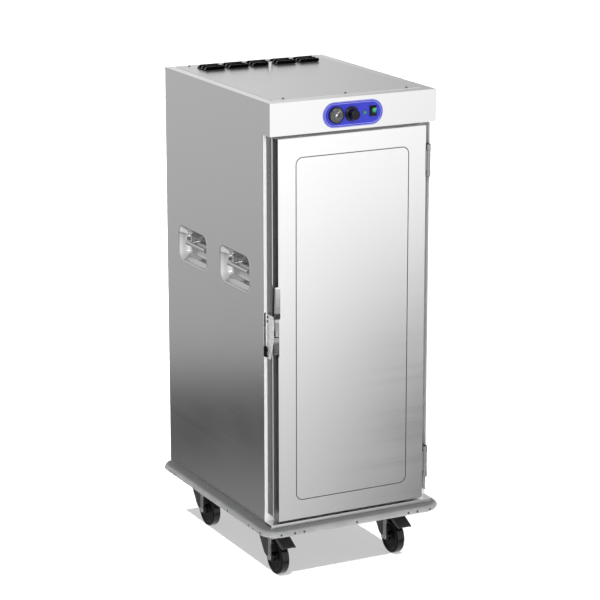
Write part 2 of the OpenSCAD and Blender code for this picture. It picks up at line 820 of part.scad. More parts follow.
// A bar with socketed ends on two posts that stand on the cup's floor.
module grip_bars() color("silver") cart() at_cups() translate([0, 0, grip_z]) {
  half = grip_l / 2;
  post_r = grip_r * 0.65;
  difference() {
    union() {
      translate([grip_x, 0, 0]) rotate([90, 0, 0]) rotate_extrude() polygon([
        [0, -half], [grip_r - 1.5, -half], [grip_r, 1.5 - half],
        [grip_r, half - 1.5], [grip_r - 1.5, half], [0, half]]);
      for (y = [-1, 1]) {
        rod_x([grip_x, y * (half - 14), 0], post_r, cup_depth - grip_x);
        rod_x([cup_depth - 1.5, y * (half - 14), 0], post_r + 3, 1.5);
      }
    }
    for (y = [-1, 1])
      rod_y([grip_x, y * half - 2.5, 0], grip_r * 0.4, 5);
  }
}

// ----------------------------------------------------------------- hinges

// One knuckle about the hinge axis, with its tongue to a leaf at x.
module knuckle(z, h, leaf_x, side) difference() {
  union() {
    rod_z([hinge_x, hinge_y, z], knuckle_r, h);
    block([min(leaf_x, leaf_x + side * leaf_t), hinge_y, z],
          [max(leaf_x, leaf_x + side * leaf_t), hinge_y + 8, z + h]);
  }
  rod_z([hinge_x, hinge_y, z - 1], hinge_pin_r + (side > 0 ? 0 : run), h + 2);
}

// Knuckles: the frame's at both ends, the door's in the middle.
end_h = (hinge_h - knuckle_h) / 2 - ease;
module hinge_frame_leaves() color("silver") cart() for (z = hinge_z) {
  x = body_w - guard_inset - guard_t - leaf_t;
  for (k = [z - hinge_h / 2, z + hinge_h / 2 - end_h])
    knuckle(k, end_h, x, 1);
  difference() {
    block([x, hinge_y + knuckle_r + 1, z - hinge_h / 2],
          [x + leaf_t, body_setback, z + hinge_h / 2]);
    for (i = [-1 : 1]) rod_x([x - 1, guard_y, z + i * hinge_screw_pitch],
                             2 + run, leaf_t + 2);
  }
}

module hinge_door_leaves() color("silver") cart() for (z = hinge_z) {
  x = door_x + door_w + leaf_t;
  knuckle(z - knuckle_h / 2, knuckle_h, x, -1);
  difference() {
    block([x - leaf_t, hinge_y + knuckle_r + 1, z - hinge_h / 2],
          [x, door_back - 2, z + hinge_h / 2]);
    for (i = [-1 : 1]) rod_x([x - leaf_t - 1, guard_y,
      z + i * hinge_screw_pitch], 2 + run, leaf_t + 2);
  }
  for (i = [-1 : 1])
    translate([x + run, guard_y, z + i * hinge_screw_pitch])
      rotate([0, 90, 0]) screw(3.2, 2, leaf_t + door_skin_t);
}

module hinge_pins() color("gray") cart() for (z = hinge_z) {
  rod_z([hinge_x, hinge_y, z - hinge_h / 2], hinge_pin_r, hinge_h);
  rod_z([hinge_x, hinge_y, z + hinge_h / 2], hinge_pin_r + 1.6, 2);
}

// ------------------------------------------------------------------- door

module door_skin() color("gainsboro") cart() difference() {
  union() {
    difference() {
      block([door_x, door_setback, door_z],
            [door_x + door_w, door_back - door_skin_t, door_z + door_h]);
      block([door_x + door_skin_t, door_setback + door_skin_t,
             door_z + door_skin_t],
            [door_x + door_w - door_skin_t, door_back,
             door_z + door_h - door_skin_t]);
    }
    groove_ring(door_setback + eps, door_skin_t + groove_depth,
                door_skin_t);
  }
  groove_ring(door_setback - 1, groove_depth + 1, 0);
  // screw holes for hinges on either edge
  for (z = hinge_z, i = [-1 : 1])
    rod_x([door_x - 1, guard_y, z + i * hinge_screw_pitch], 2 + run,
          door_w + 2);
}

// A ring that follows the pressed groove, grown by a wall on both sides.
module groove_ring(y, t, wall) {
  w = door_w - 2 * groove_inset;
  h = door_h - 2 * groove_inset;
  out = groove_w / 2 + wall;
  front_plate(door_x + door_w / 2, y, door_z + door_h / 2, t) difference() {
    rounded(w + 2 * out, h + 2 * out, groove_r + out);
    rounded(w - 2 * out, h - 2 * out, groove_r - out);
  }
}

module door_inner_pan() color("whitesmoke") cart()
  block([door_x, door_back - door_skin_t, door_z],
        [door_x + door_w, door_back, door_z + door_h]);

// Foamed core between the door's two sheets.
module door_insulation() color("khaki") cart() {
  side = door_skin_t + 2;
  block([door_x + side, door_setback + door_skin_t + groove_depth + eps,
         door_z + side],
        [door_x + door_w - side, door_back - door_skin_t,
         door_z + door_h - side]);
}

module door_gasket() color("black") cart() {
  gap = body_setback - door_back;
  w = door_w - 4;
  h = door_h - 4;
  front_plate(door_x + door_w / 2, door_back, door_z + door_h / 2,
              gap - ease) difference() {
    rounded(w, h, 6);
    rounded(w - 2 * gasket_w, h - 2 * gasket_w, 3);
  }
}

// ------------------------------------------------------------------ latch

keeper_z = latch_z - 10.5;
keeper_screws = [keeper_z + 6, keeper_z + 28.5,
                 keeper_z + keeper_h - 24, keeper_z + keeper_h - 9];
// Side plate on the guard, tapered at its foot.
module latch_keeper() color("lightgray") cart() difference() {
  side_plate(guard_inset - leaf_t, leaf_t) polygon([
    [latch_front + 22, keeper_z], [body_setback, keeper_z],
    [body_setback, keeper_z + keeper_h], [latch_front, keeper_z + keeper_h],
    [latch_front, keeper_z + 66]]);
  for (z = keeper_screws)
    rod_x([guard_inset - leaf_t - 1, keeper_y, z], 1.8 + run, leaf_t + 2);
}

// Rubber block beside the keeper's foot, with a thin strip up its back.
module latch_buffer() color("black") cart() {
  right = guard_inset - leaf_t - 2.6;
  foot_top = keeper_z + 40;
  block([1, body_setback - 9, keeper_z + 5], [right, body_setback, foot_top]);
  block([2, body_setback - skin_t, foot_top - eps],
        [right - 0.6, body_setback, keeper_z + keeper_h + 4]);
}

// Housing on the door's edge: two cheeks, a front shroud and a pivot pin.
module latch_housing() color("silver") cart() {
  top = latch_z + latch_h;
  back = door_back - 6;
  block([door_x - cheek_t, latch_front, latch_z], [door_x, back, top]);
  difference() {
    side_plate(latch_x, door_x - cheek_t - latch_x + eps) shroud(0);
    side_plate(latch_x + cheek_t, door_x) shroud(cheek_t);
  }
  // nose in front of the guard
  block([guard_inset + 1, latch_front, latch_z + 30],
        [latch_x + cheek_t, latch_front + cheek_t, shroud_top]);
  rod_x([latch_x + cheek_t / 2, pivot_y, pivot_z], pivot_r,
        door_x - latch_x - cheek_t);
}

shroud_r = 20;                // radius of the housing's round foot
shroud_top = pivot_z - 36;    // top of its closed front
// Outline of the latch shroud in Y and Z, or with a wall its hollow.
module shroud(wall) {
  r = shroud_r - wall;
  y0 = latch_front + wall;
  low = latch_z + wall;
  over = wall > 0 ? latch_h : 0;
  translate([y0 + r, low + r]) circle(r);
  translate([y0, low + r]) square([2 * r, shroud_top - low - r + over]);
  translate([y0 + 7, shroud_top - eps])
    square([2 * r - 7, latch_z + latch_h - shroud_top + over]);
}

lever_x = door_x - cheek_t - ease - lever_w;
lever_face = -24.5;           // paddle's front, from the pivot
web_t = 1.8;                  // thickness of the paddle's side webs
// Lever: a tail and hub between the cheeks, and a folded paddle that stands
// forward of them in front of the guard.
module latch_lever() color("silver") cart() difference() {
  union() {
    side_plate(hub_x, hub_w) translate([pivot_y, pivot_z]) {
      circle(7.5);
      polygon([[-11.5, -33], [-11.5, 14], [-16, 20], [-4, 22], [5, 6],
        [5, -6], [-7.5, -9], [-9.5, -33]]);
    }
    side_plate(lever_x, lever_w) lever_front();
    for (x = [lever_x, lever_x + lever_w - web_t])
      side_plate(x, web_t) lever_web();
  }
  rod_x([hub_x - 1, pivot_y, pivot_z], pivot_r + run, hub_w + 2);
}

// The paddle's folded front, in Y and Z: bent forward, rolled over at its tip.
module lever_front() translate([pivot_y, pivot_z]) polygon([
  [-13, 17], [lever_face, 34], [lever_face, lever_len - 5],
  [lever_face + 2, lever_len - 1.5], [lever_face + 6, lever_len],
  [lever_face + 8, lever_len - 2], [lever_face + 3.4, lever_len - 4],
  [lever_face + 2, lever_len - 7], [lever_face + 2, 35], [-9, 17]]);

// The paddle's side web: deep at its foot, shallow at its tip.
module lever_web() translate([pivot_y, pivot_z]) polygon([
  [-13, 17], [lever_face + eps, 34], [lever_face + eps, lever_len - 6],
  [lever_face + 7.5, lever_len - 4], [-12, 45], [-3.5, 24], [-4, 17]]);

// ----------------------------------------------------------------- bumper

// Half-round section of the bumper, its flat back on the line x = from.
function bumper_section(from) = concat(
  [[from, -bumper_h / 2]],
  [for (a = [-80 : 10 : 80]) [from + bumper_d * pow(cos(a), 0.75),
                              bumper_h / 2 * sin(a)]],
  [[from, bumper_h / 2]]);

module bumper_leg(l) rotate([90, 0, 0]) mirror([0, 0, 1])
  linear_extrude(l) mirror([1, 0]) polygon(bumper_section(0));

// A moulding round the front left corner, over the chassis rails.
module bumper_corner() difference() {
  difference() {
    union() {
      translate([bumper_in, bumper_in, bumper_z]) rotate([0, 0, 180])
        rotate_extrude(angle = 90) polygon(bumper_section(bumper_in));
      translate([0, bumper_in, bumper_z]) bumper_leg(corner_leg - bumper_in);
      translate([bumper_in, 0, bumper_z]) rotate([0, 0, -90])
        mirror([1, 0, 0]) bumper_leg(corner_leg - bumper_in);
    }
    block([0, 0, 0], [bumper_r, bumper_r, body_h]);
  }
  bumper_screw_wells();
}

module at_corners() for (x = [0, 1], y = [0, 1])
  translate([x * body_w, y * body_d, 0]) mirror([x, 0, 0]) mirror([0, y, 0])
    children();

module bumper_corners() color("darkgray") cart() at_corners()
  bumper_corner();

module bumper_rails() color("darkgray") cart() {
  gap = 0.8;
  l_side = body_d - 2 * corner_leg - 2 * gap;
  l_end = body_w - 2 * corner_leg - 2 * gap;
  both_sides() difference() {
    translate([0, corner_leg + gap, bumper_z]) bumper_leg(l_side);
    bumper_screw_wells();
  }
  for (y = [0, 1]) translate([0, y * body_d, 0]) mirror([0, y, 0])
    difference() {
      translate([corner_leg + gap, 0, bumper_z]) rotate([0, 0, -90])
        mirror([1, 0, 0]) bumper_leg(l_end);
      bumper_screw_wells();
    }
}

// Stepped holes for the bumper's screws.
module bumper_screw_wells() at_bumper_screws() {
  cylinder(r = 4.3, h = bumper_d);
  translate([0, 0, -bumper_d]) cylinder(r = 2 + run, h = bumper_d + eps);
}

// Places children at the bumper's screws, their Z outwards from the body.
module at_bumper_screws() {
  near = [22, corner_leg - 17, corner_leg + 18];
  xs = concat(near, [body_w / 2], [for (n = near) body_w - n]);
  ys = concat(near, [body_d / 3, body_d * 2 / 3],
              [for (n = near) body_d - n]);
  for (x = xs, end = [0, 1]) translate([x, end * body_d, bumper_z])
    mirror([0, end, 0]) translate([0, -bumper_sink, 0])
      rotate([90, 0, 0]) rotate([0, 0, 90]) children();
  for (y = ys) both_sides() translate([-bumper_sink, y, bumper_z])
    rotate([0, -90, 0]) children();
}

// ---------------------------------------------------------------- casters

// Swivel axis of each caster: x and y.
swivels = [[swivel_inset, swivel_front_y],
           [body_w - swivel_inset, swivel_front_y],
           [swivel_inset, body_d - swivel_rear_y],
           [body_w - swivel_inset, body_d - swivel_rear_y]];

module at_swivel(i) translate([swivels[i].x, swivels[i].y, 0]) children();

module plate_bolts_at() for (x = [-1, 1], y = [-1, 1])
  translate([x * 34, y * 40, 0]) children();

module caster_plates() color("lightgray") cart() for (i = [0 : 3])
  at_swivel(i) {
    difference() {
      translate([-45, -52, caster_h - plate_t]) cube([90, 104, plate_t]);
      translate([0, 0, caster_h - plate_t - 1]) plate_bolts_at()
        cylinder(r = bolt_r + run, h = plate_t + 2);
    }
    translate([0, 0, race_z + ease])
      cylinder(r = 28, h = caster_h - plate_t - race_z - ease + eps);
    translate([0, 0, crown_z - 5])
      cylinder(r = king_r, h = race_z - crown_z + 8);
    translate([0, 0, crown_z - 5]) cylinder(r = king_r + 4, h = 4.5);
  }

// Leg of a fork in Y and Z: wide at the crown, round at the axle.
module leg_outline() {
  difference() {
    union() {
      polygon([[-50, crown_z], [-50, crown_z - 16], [-72, crown_z - 20],
        [-72, crown_z - 4], [-50, crown_z + crown_t],
        [44, crown_z + crown_t], [44, crown_z - 26], [36, crown_z - 42],
        [2, wheel_r + 4], [-trail + 7, wheel_r - 11],
        [-trail - 12, wheel_r], [-50, crown_z - 34]]);
      translate([-trail, wheel_r]) circle(13);
    }
    translate([-trail, wheel_r]) circle(axle_r + run);
    translate([pedal_y, pedal_z]) circle(pedal_pin_r + run);
  }
}

// Raised rib down the front of a leg, round about the axle.
module leg_rib() difference() {
  union() {
    translate([-trail, wheel_r]) circle(10.5);
    translate([-trail - 9.5, wheel_r]) square([19, crown_z - wheel_r + 1]);
  }
  translate([-trail, wheel_r]) circle(axle_r + run);
}

module fork() color("silver") {
  for (s = [0, 1]) mirror([s, 0, 0]) {
    side_plate(leg_in, fork_t) leg_outline();
    side_plate(leg_out - eps, rib_t) leg_rib();
  }
  difference() {
    union() {
      translate([-leg_out, -50, crown_z])
        cube([2 * leg_out, 94, crown_t]);
      translate([0, 0, crown_z]) cylinder(r = 32, h = race_z - crown_z);
    }
    translate([0, 0, crown_z - 1])
      cylinder(r = king_r + run, h = race_z - crown_z + 2);
  }
}

// One half of a wheel's section from its hub to its tread.
function wheel_half(s) = let (
    h = wheel_w / 2,
    e = 6,
    rim = wheel_r - 14)
  concat(
    [[axle_r + run, s * hub_half], [15, s * hub_half], [17, s * (h - 3)],
     [rim - 3, s * (h - 3)], [rim, s * h]],
    [for (a = [0 : 15 : 90]) [wheel_r - e + e * sin(a),
                              s * (h - e + e * cos(a))]]);

// A wheel's section, up one side and down the other.
module wheel() color("black") translate([0, -trail, wheel_r])
  rotate([0, 90, 0]) rotate_extrude() let (far = wheel_half(-1))
    polygon(concat(wheel_half(1),
                   [for (i = [len(far) - 1 : -1 : 0]) far[i]]));

module axle() color("gray") translate([0, -trail, wheel_r]) {
  face = leg_out + rib_t;
  rod_x([-face - 1, 0, 0], axle_r, 2 * face + 2);
  for (s = [0, 1]) mirror([s, 0, 0]) {
    rod_x([face, 0, 0], 9, 1.2);
    translate([face + 1.2 - eps, 0, 0]) rotate([0, 90, 0])
      cylinder(r = 8, h = s ? 4.5 : 6, $fn = 6);
  }
}

// Brake pedal: a sloping tread on two arms inside the fork's legs.
module pedal() color("black") {
  arm = pedal_half - pedal_t;
  top = [pedal_y - 17, pedal_z + 4];
  for (s = [0, 1]) mirror([s, 0, 0]) {
    side_plate(arm, pedal_t) union() {
      translate([pedal_y, pedal_z]) circle(8);
      polygon([[pedal_y + 3, pedal_z + 7], [pedal_y - 3, pedal_z - 8],
        [pedal_tip.x + 14, pedal_tip.y - 4], pedal_tip - [0, 4], pedal_tip,
        [top.x, top.y - 2]]);
    }
    rod_x([pedal_half - 0.5, pedal_y, pedal_z], pedal_pin_r,
          leg_out - pedal_half);
  }
  side_plate(-pedal_half, 2 * pedal_half) polygon([
    top, [top.x, top.y - 3], [pedal_tip.x, pedal_tip.y - 1],
    [pedal_tip.x - 3, pedal_tip.y], [pedal_tip.x - 2, pedal_tip.y + 2.5]]);
}

module fork_front_left() cart() at_swivel(0) fork();
module fork_front_right() cart() at_swivel(1) fork();
module fork_rear_left() cart() at_swivel(2) fork();
module fork_rear_right() cart() at_swivel(3) fork();
module wheel_front_left() cart() at_swivel(0) wheel();
module wheel_front_right() cart() at_swivel(1) wheel();
module wheel_rear_left() cart() at_swivel(2) wheel();
module wheel_rear_right() cart() at_swivel(3) wheel();
module axle_front_left() cart() at_swivel(0) axle();
module axle_front_right() cart() at_swivel(1) axle();
module axle_rear_left() cart() at_swivel(2) axle();
module axle_rear_right() cart() at_swivel(3) axle();
module pedal_front_left() cart() at_swivel(0) pedal();
module pedal_front_right() cart() at_swivel(1) pedal();

base_frame();
front_sill();
side_panels();
back_panel();
inner_liner();
insulation();
front_frame();
door_guards();
header_box();
top_cover();
vent_louvres();
vent_pipe();
body_screws();
control_fascia();
thermometer_case();
thermometer_pointer();
thermometer_lens();
thermostat_body();
thermostat_knob();
indicator_lamp();
rocker_housing();
rocker();
fan_motor();
fan_wheel();
heater_element();
ceiling_baffle();
water_pan();
rack_uprights();
tray_runners();
handle_cups();
grip_bars();
hinge_frame_leaves();
hinge_door_leaves();
hinge_pins();
latch_keeper();
latch_buffer();
latch_housing();
latch_lever();
door_skin();
door_insulation();
door_inner_pan();
door_gasket();
bumper_corners();
bumper_rails();
caster_plates();
power_inlet();
fork_front_left();
fork_front_right();
fork_rear_left();
fork_rear_right();
wheel_front_left();
wheel_front_right();
wheel_rear_left();
wheel_rear_right();
axle_front_left();
axle_front_right();
axle_rear_left();
axle_rear_right();
pedal_front_left();
pedal_front_right();
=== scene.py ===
"""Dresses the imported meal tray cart: finishes, small fittings, studio and camera."""
from __future__ import annotations

import logging
import math
from dataclasses import dataclass, field
from enum import Enum
from typing import Callable, Dict, List, Optional, Sequence, Tuple, Union

import bmesh
import bpy
from mathutils import Matrix, Quaternion, Vector


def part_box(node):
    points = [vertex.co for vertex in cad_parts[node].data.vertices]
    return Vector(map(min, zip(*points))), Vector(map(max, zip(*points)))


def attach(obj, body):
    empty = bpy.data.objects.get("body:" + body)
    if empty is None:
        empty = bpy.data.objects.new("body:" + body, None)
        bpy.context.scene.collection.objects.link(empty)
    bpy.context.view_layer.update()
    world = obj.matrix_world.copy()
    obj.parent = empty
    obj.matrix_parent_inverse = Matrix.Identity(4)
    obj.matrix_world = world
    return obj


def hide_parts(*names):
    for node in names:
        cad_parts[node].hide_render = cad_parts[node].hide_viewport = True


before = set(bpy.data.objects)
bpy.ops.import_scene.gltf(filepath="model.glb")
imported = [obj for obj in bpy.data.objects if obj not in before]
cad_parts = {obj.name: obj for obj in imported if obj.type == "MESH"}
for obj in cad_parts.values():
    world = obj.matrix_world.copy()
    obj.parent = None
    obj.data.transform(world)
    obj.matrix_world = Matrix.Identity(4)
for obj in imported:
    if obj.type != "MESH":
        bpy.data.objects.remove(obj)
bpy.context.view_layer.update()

LOG = logging.getLogger("tray_cart")
WELD = 2e-6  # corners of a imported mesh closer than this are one, in metres
Pair = Tuple[float, float]
Point = Tuple[float, float, float]
Feed = Union["Sock", float, Sequence[float]]
Test = Callable[[bpy.types.MeshPolygon], bool]


# --------------------------------------------------------------- shader maths


class Sock:
    """A node's output that Python's operators can work on."""

    def __init__(self, graph: "Graph", socket: bpy.types.NodeSocket) -> None:
        """Keeps the socket and the graph it belongs to."""
        self.graph = graph
        self.socket = socket

    def maths(self, operation: str, *feeds: Feed) -> "Sock":
        """Adds one Math node, fed in order, and gives its result."""
        return self.graph.node("ShaderNodeMath", {"operation": operation}, dict(enumerate(feeds)))

    def __add__(self, other: Feed) -> "Sock":
        """Adds."""
        return self.maths("ADD", self, other)

    def __sub__(self, other: Feed) -> "Sock":
        """Subtracts."""
        return self.maths("SUBTRACT", self, other)

    def __rsub__(self, other: Feed) -> "Sock":
        """Subtracts from a number."""
        return self.maths("SUBTRACT", other, self)

    def __mul__(self, other: Feed) -> "Sock":
        """Multiplies."""
        return self.maths("MULTIPLY", self, other)

    def __truediv__(self, other: Feed) -> "Sock":
        """Divides."""
        return self.maths("DIVIDE", self, other)

    def __pow__(self, other: Feed) -> "Sock":
        """Raises to a power."""
        return self.maths("POWER", self, other)

    def __neg__(self) -> "Sock":
        """Changes the sign."""
        return self.maths("MULTIPLY", self, -1.0)

    def __abs__(self) -> "Sock":
        """Drops the sign."""
        return self.maths("ABSOLUTE", self)

    def above(self, limit: Feed) -> "Sock":
        """Gives 1 where the value is above a limit."""
        return self.maths("GREATER_THAN", self, limit)

    def below(self, limit: Feed) -> "Sock":
        """Gives 1 where the value is below a limit."""
        return self.maths("LESS_THAN", self, limit)

    def at_least(self, limit: Feed) -> "Sock":
        """Raises the value to a limit."""
        return self.maths("MAXIMUM", self, limit)

    def eased(self, low: float, high: float, start: float = 0.0, end: float = 1.0) -> "Sock":
        """Maps the stretch from low to high smoothly to the one from start to end."""
        feeds = {"Value": self, "From Min": low, "From Max": high, "To Min": start, "To Max": end}
        return self.graph.node("ShaderNodeMapRange", {"interpolation_type": "SMOOTHSTEP"}, feeds)


class Graph:
    """A node tree that is filled by calls and expressions."""

    def __init__(self, tree: bpy.types.NodeTree) -> None:
        """Empties the tree."""
        self.tree = tree
        tree.nodes.clear()

    def fill(self, sockets: bpy.types.NodeInputs, feeds: Dict[Union[int, str], Feed]) -> None:
        """Links a Sock to each socket, or sets its value.

        Args:
            sockets: Sockets of one node.
            feeds: Socket name or number to link, number, colour or vector.
        """
        for key, value in feeds.items():
            socket = sockets[key]
            if isinstance(value, Sock):
                self.tree.links.new(value.socket, socket)
            elif hasattr(value, "__len__") and len(value) == 3 and len(socket.default_value) == 4:
                socket.default_value = (*value, 1.0)
            else:
                socket.default_value = value

    def node(self, kind: str, settings: Optional[dict] = None, feeds: Optional[dict] = None,
             out: Union[int, str] = 0) -> Sock:
        """Adds any node.

        Args:
            kind: The node's type.
            settings: Its properties, set first; "stops" fills a ramp.
            feeds: Socket name or number to value or link.
            out: The output that is returned.

        Returns:
            The chosen output.
        """
        made = self.tree.nodes.new(kind)
        for key, value in (settings or {}).items():
            if key == "stops":
                ramp = made.color_ramp
                while len(ramp.elements) < len(value):
                    ramp.elements.new(0.5)
                for element, (place, level) in zip(ramp.elements, value):
                    element.position = place
                    element.color = (level, level, level, 1.0)
            else:
                setattr(made, key, value)
        self.fill(made.inputs, feeds or {})
        return Sock(self, made.outputs[out] if len(made.outputs) else made.inputs[0])

    def place(self, scale: Point = (1, 1, 1)) -> Sock:
        """Gives the piece's own coordinates, stretched along each axis."""
        feeds = {"Vector": self.node("ShaderNodeTexCoord", out="Object"), "Scale": scale}
        return self.node("ShaderNodeMapping", {"vector_type": "POINT"}, feeds)

    def axes(self, vector: Sock) -> List[Sock]:
        """Splits a vector into its three numbers."""
        outputs = self.node("ShaderNodeSeparateXYZ", feeds={0: vector}).socket.node.outputs
        return [Sock(self, output) for output in outputs]

    def noise(self, scale: Union[float, Point], detail: float, rough: float) -> Sock:
        """Adds a noise pattern around 0.5 in the piece's own coordinates.

        Args:
            scale: How fine it is, along all axes or along each.
            detail: Number of finer layers.
            rough: How much the finer layers count.

        Returns:
            The pattern.
        """
        stretch = scale if isinstance(scale, tuple) else (scale, scale, scale)
        feeds = {"Vector": self.place(stretch), "Scale": 1.0, "Detail": detail, "Roughness": rough}
        return self.node("ShaderNodeTexNoise", {"noise_dimensions": "3D"}, feeds, "Fac")

    def blend(self, factor: Feed, first: Feed, second: Feed) -> Sock:
        """Mixes two colours."""
        feeds = {0: factor, 6: first, 7: second}
        return self.node("ShaderNodeMix", {"data_type": "RGBA"}, feeds, 2)

    def bump(self, height: Sock, strength: float, distance: float) -> Sock:
        """Turns a height into a normal."""
        feeds = {"Height": height, "Strength": strength, "Distance": distance}
        return self.node("ShaderNodeBump", feeds=feeds)


def tinted(colour: Sequence[float], factor: float, lift: float = 0.0) -> Point:
    """Makes a colour lighter or darker, up to white."""
    return tuple(min(1.0, value * factor + lift) for value in colour)


# ------------------------------------------------------------------- finishes


class Grain(Enum):
    """The way a sheet's brushed grain runs, as a stretch of the coordinates."""

    ACROSS = (1.2, 420.0, 420.0)
    BACK = (420.0, 1.2, 420.0)
    UP = (420.0, 420.0, 1.2)


@dataclass(frozen=True)
class Finish:
    """A named surface finish; its material is made once."""

    name: str

    def material(self) -> bpy.types.Material:
        """Makes the material, or gives the one made before.

        Returns:
            The material.
        """
        made = bpy.data.materials.get(self.name)
        if made is None:
            made = bpy.data.materials.new(self.name)
            made.use_nodes = True
            graph = Graph(made.node_tree)
            shader = graph.node("ShaderNodeBsdfPrincipled")
            graph.node("ShaderNodeOutputMaterial", feeds={"Surface": shader})
            self.paint(graph, shader.socket.node.inputs)
        return made

    def paint(self, graph: Graph, shader: bpy.types.NodeInputs) -> None:
        """Feeds the main shader's sockets; each finish has its own way."""
        raise NotImplementedError


@dataclass(frozen=True)
class BrushedSteel(Finish):
    """Stainless sheet with a fine grain, faint streaks and a few smudges."""

    grain: Grain = Grain.ACROSS
    tone: float = 0.62
    roughness: float = 0.33
    streak: float = 0.05
    relief: float = 0.10
    metal: float = 1.0
    wider: float = 0.12

    def paint(self, graph: Graph, shader: bpy.types.NodeInputs) -> None:
        """Lays grain, wider streaks and cloudy handling marks over the steel.

        Args:
            graph: The material's graph.
            shader: Sockets of its main shader.
        """
        fine = graph.noise(self.grain.value, 4.0, 0.7)
        wide = graph.noise(tuple(v * self.wider for v in self.grain.value), 3.0, 0.6)
        clouds = graph.noise(3.1, 4.0, 0.6)
        specks = graph.noise(260.0, 2.0, 0.5)
        lines = (fine - 0.5) * self.streak * 2.4 + (wide - 0.5) * self.streak * 1.6
        cloudy = (clouds - 0.5) * self.streak * 0.9 + (specks - 0.5) * self.streak * 0.5
        dark = tinted((1.0, 1.002, 1.006), self.tone * 0.80)
        light = tinted((1.0, 0.999, 0.994), min(1.0, self.tone * 1.20))
        graph.fill(shader, {
            "Base Color": graph.blend(lines + cloudy + 0.5, dark, light),
            "Metallic": self.metal,
            "Roughness": lines * 0.5 + (clouds - 0.5) * 0.05 + self.roughness,
            "Normal": graph.bump(fine, self.relief, 0.0002)})


@dataclass(frozen=True)
class PolishedSteel(Finish):
    """Bright steel of fittings, with soft scuffs and, where it has any, bands of painted shade and
    painted highlight.
    """

    tone: float = 0.66
    roughness: float = 0.16
    relief: float = 0.06
    metal: float = 1.0
    bands: Tuple[Point, ...] = ()  # lower end, upper end and tone of each

    def paint(self, graph: Graph, shader: bpy.types.NodeInputs) -> None:
        """Varies shine with scuffs, paints bands of shade and highlight by height, and adds a
        slight wave.

        Args:
            graph: The material's graph.
            shader: Sockets of its main shader.
        """
        scuffs = graph.noise(60.0, 6.0, 0.7)
        clouds = graph.noise(14.0, 3.0, 0.5)
        dark = tinted((0.92, 0.925, 0.93), self.tone)
        light = tinted((1.07, 1.07, 1.065), self.tone)
        shade = graph.blend(scuffs * 0.6 + clouds * 0.4, dark, light)
        # painted shade and painted highlight: bands of set tone by height
        if self.bands:
            height = graph.axes(graph.place())[2]
            for low, high, tone in self.bands:
                edge = (high - low) * 0.25
                inside = height.eased(low, low + edge) * (1.0 - height.eased(high - edge, high))
                shade = graph.blend(inside, shade, (tone, tone, tone))
        graph.fill(shader, {
            "Base Color": shade,
            "Metallic": self.metal,
            "Roughness": scuffs.eased(0.35, 0.75, self.roughness * 0.85, self.roughness * 1.3),
            "Normal": graph.bump(clouds, self.relief, 0.0006)})


@dataclass(frozen=True)
class PlatedPressing(Finish):
    """Zinc-plated pressed steel: mottled, a little dull."""

    tone: float = 0.50
    roughness: float = 0.38

    def paint(self, graph: Graph, shader: bpy.types.NodeInputs) -> None:
        """Mottles the plating with cells and adds faint dents.

        Args:
            graph: The material's graph.
            shader: Sockets of its main shader.
        """
        feeds = {"Vector": graph.place(), "Scale": 190.0}
        cells = graph.node("ShaderNodeTexVoronoi", feeds=feeds, out="Distance")
        clouds = graph.noise(22.0, 5.0, 0.6)
        mottle = cells * 0.35 + clouds * 0.65
        dark = tinted((0.80, 0.82, 0.84), self.tone)
        light = tinted((1.18, 1.18, 1.16), self.tone)
        graph.fill(shader, {
            "Base Color": graph.blend(mottle, dark, light),
            "Metallic": 0.95,
            "Roughness": mottle.eased(0.2, 0.8, self.roughness - 0.08, self.roughness + 0.12),
            "Normal": graph.bump(clouds, 0.12, 0.0008)})


@dataclass(frozen=True)
class Moulding(Finish):
    """Moulded plastic or rubber with a fine skin, dust, and painted shade on what faces up."""

    colour: Point
    roughness: float
    skin: float
    relief: float
    dust: float
    shine: float = 0.4
    # painted shade: how far faces turned up are darkened
    soil: float = 0.0

    def paint(self, graph: Graph, shader: bpy.types.NodeInputs) -> None:
        """Adds the moulded skin, a cloudy film of dust, and painted shade that darkens what faces
        up.

        Args:
            graph: The material's graph.
            shader: Sockets of its main shader.
        """
        skin = graph.noise(self.skin, 3.0, 0.6)
        clouds = graph.noise(17.0, 5.0, 0.62)
        film = clouds.eased(0.35, 0.75) * 0.75 + skin * 0.25
        deep = tinted(self.colour, 0.88)
        pale = tinted(self.colour, 1.10, 0.035 * self.dust)
        level = graph.axes(graph.node("ShaderNodeNewGeometry", out="Normal"))[2]
        # painted shade: faces turned up are blended towards a quarter of the colour
        shaded_up = level.eased(0.80, 0.99) * self.soil
        clean = graph.blend(film, deep, pale)
        graph.fill(shader, {
            "Base Color": graph.blend(shaded_up, clean, tinted(self.colour, 0.25)),
            "Roughness": film * 0.22 * self.dust * 2.0 + self.roughness,
            "Specular IOR Level": self.shine,
            "Normal": graph.bump(skin, self.relief, 0.0003)})


@dataclass(frozen=True)
class FasciaFoil(Finish):
    """Blue printed foil with two white lines that follow its round-ended edge."""

    middle: Point
    length: float
    height: float
    lines: Tuple[Pair, Pair] = ((0.0013, 0.0022), (0.0064, 0.0073))  # from the foil's edge
    ink: float = 0.75

    def paint(self, graph: Graph, shader: bpy.types.NodeInputs) -> None:
        """Draws the lines by their distance from the foil's edge.

        Args:
            graph: The material's graph.
            shader: Sockets of its main shader.
        """
        across, _, up = graph.axes(graph.place())
        beyond = (abs(across - self.middle[0]) - (self.length - self.height) / 2).at_least(0.0)
        rise = up - self.middle[2]
        edge = self.height / 2 - (beyond * beyond + rise * rise) ** 0.5
        outer, inner = (edge.above(low) * edge.below(high) * self.ink for low, high in self.lines)
        clouds = graph.noise(9.0, 3.0, 0.5)
        weave = graph.noise(900.0, 2.0, 0.5)
        blue = graph.blend(clouds * 0.6 + weave * 0.4, (0.026, 0.031, 0.36), (0.040, 0.047, 0.44))
        graph.fill(shader, {
            "Base Color": graph.blend(outer + inner, blue, (0.66, 0.67, 0.76)),
            "Roughness": clouds * 0.10 + 0.40,
            "Specular IOR Level": 0.15,
            "Normal": graph.bump(weave, 0.08, 0.0001)})


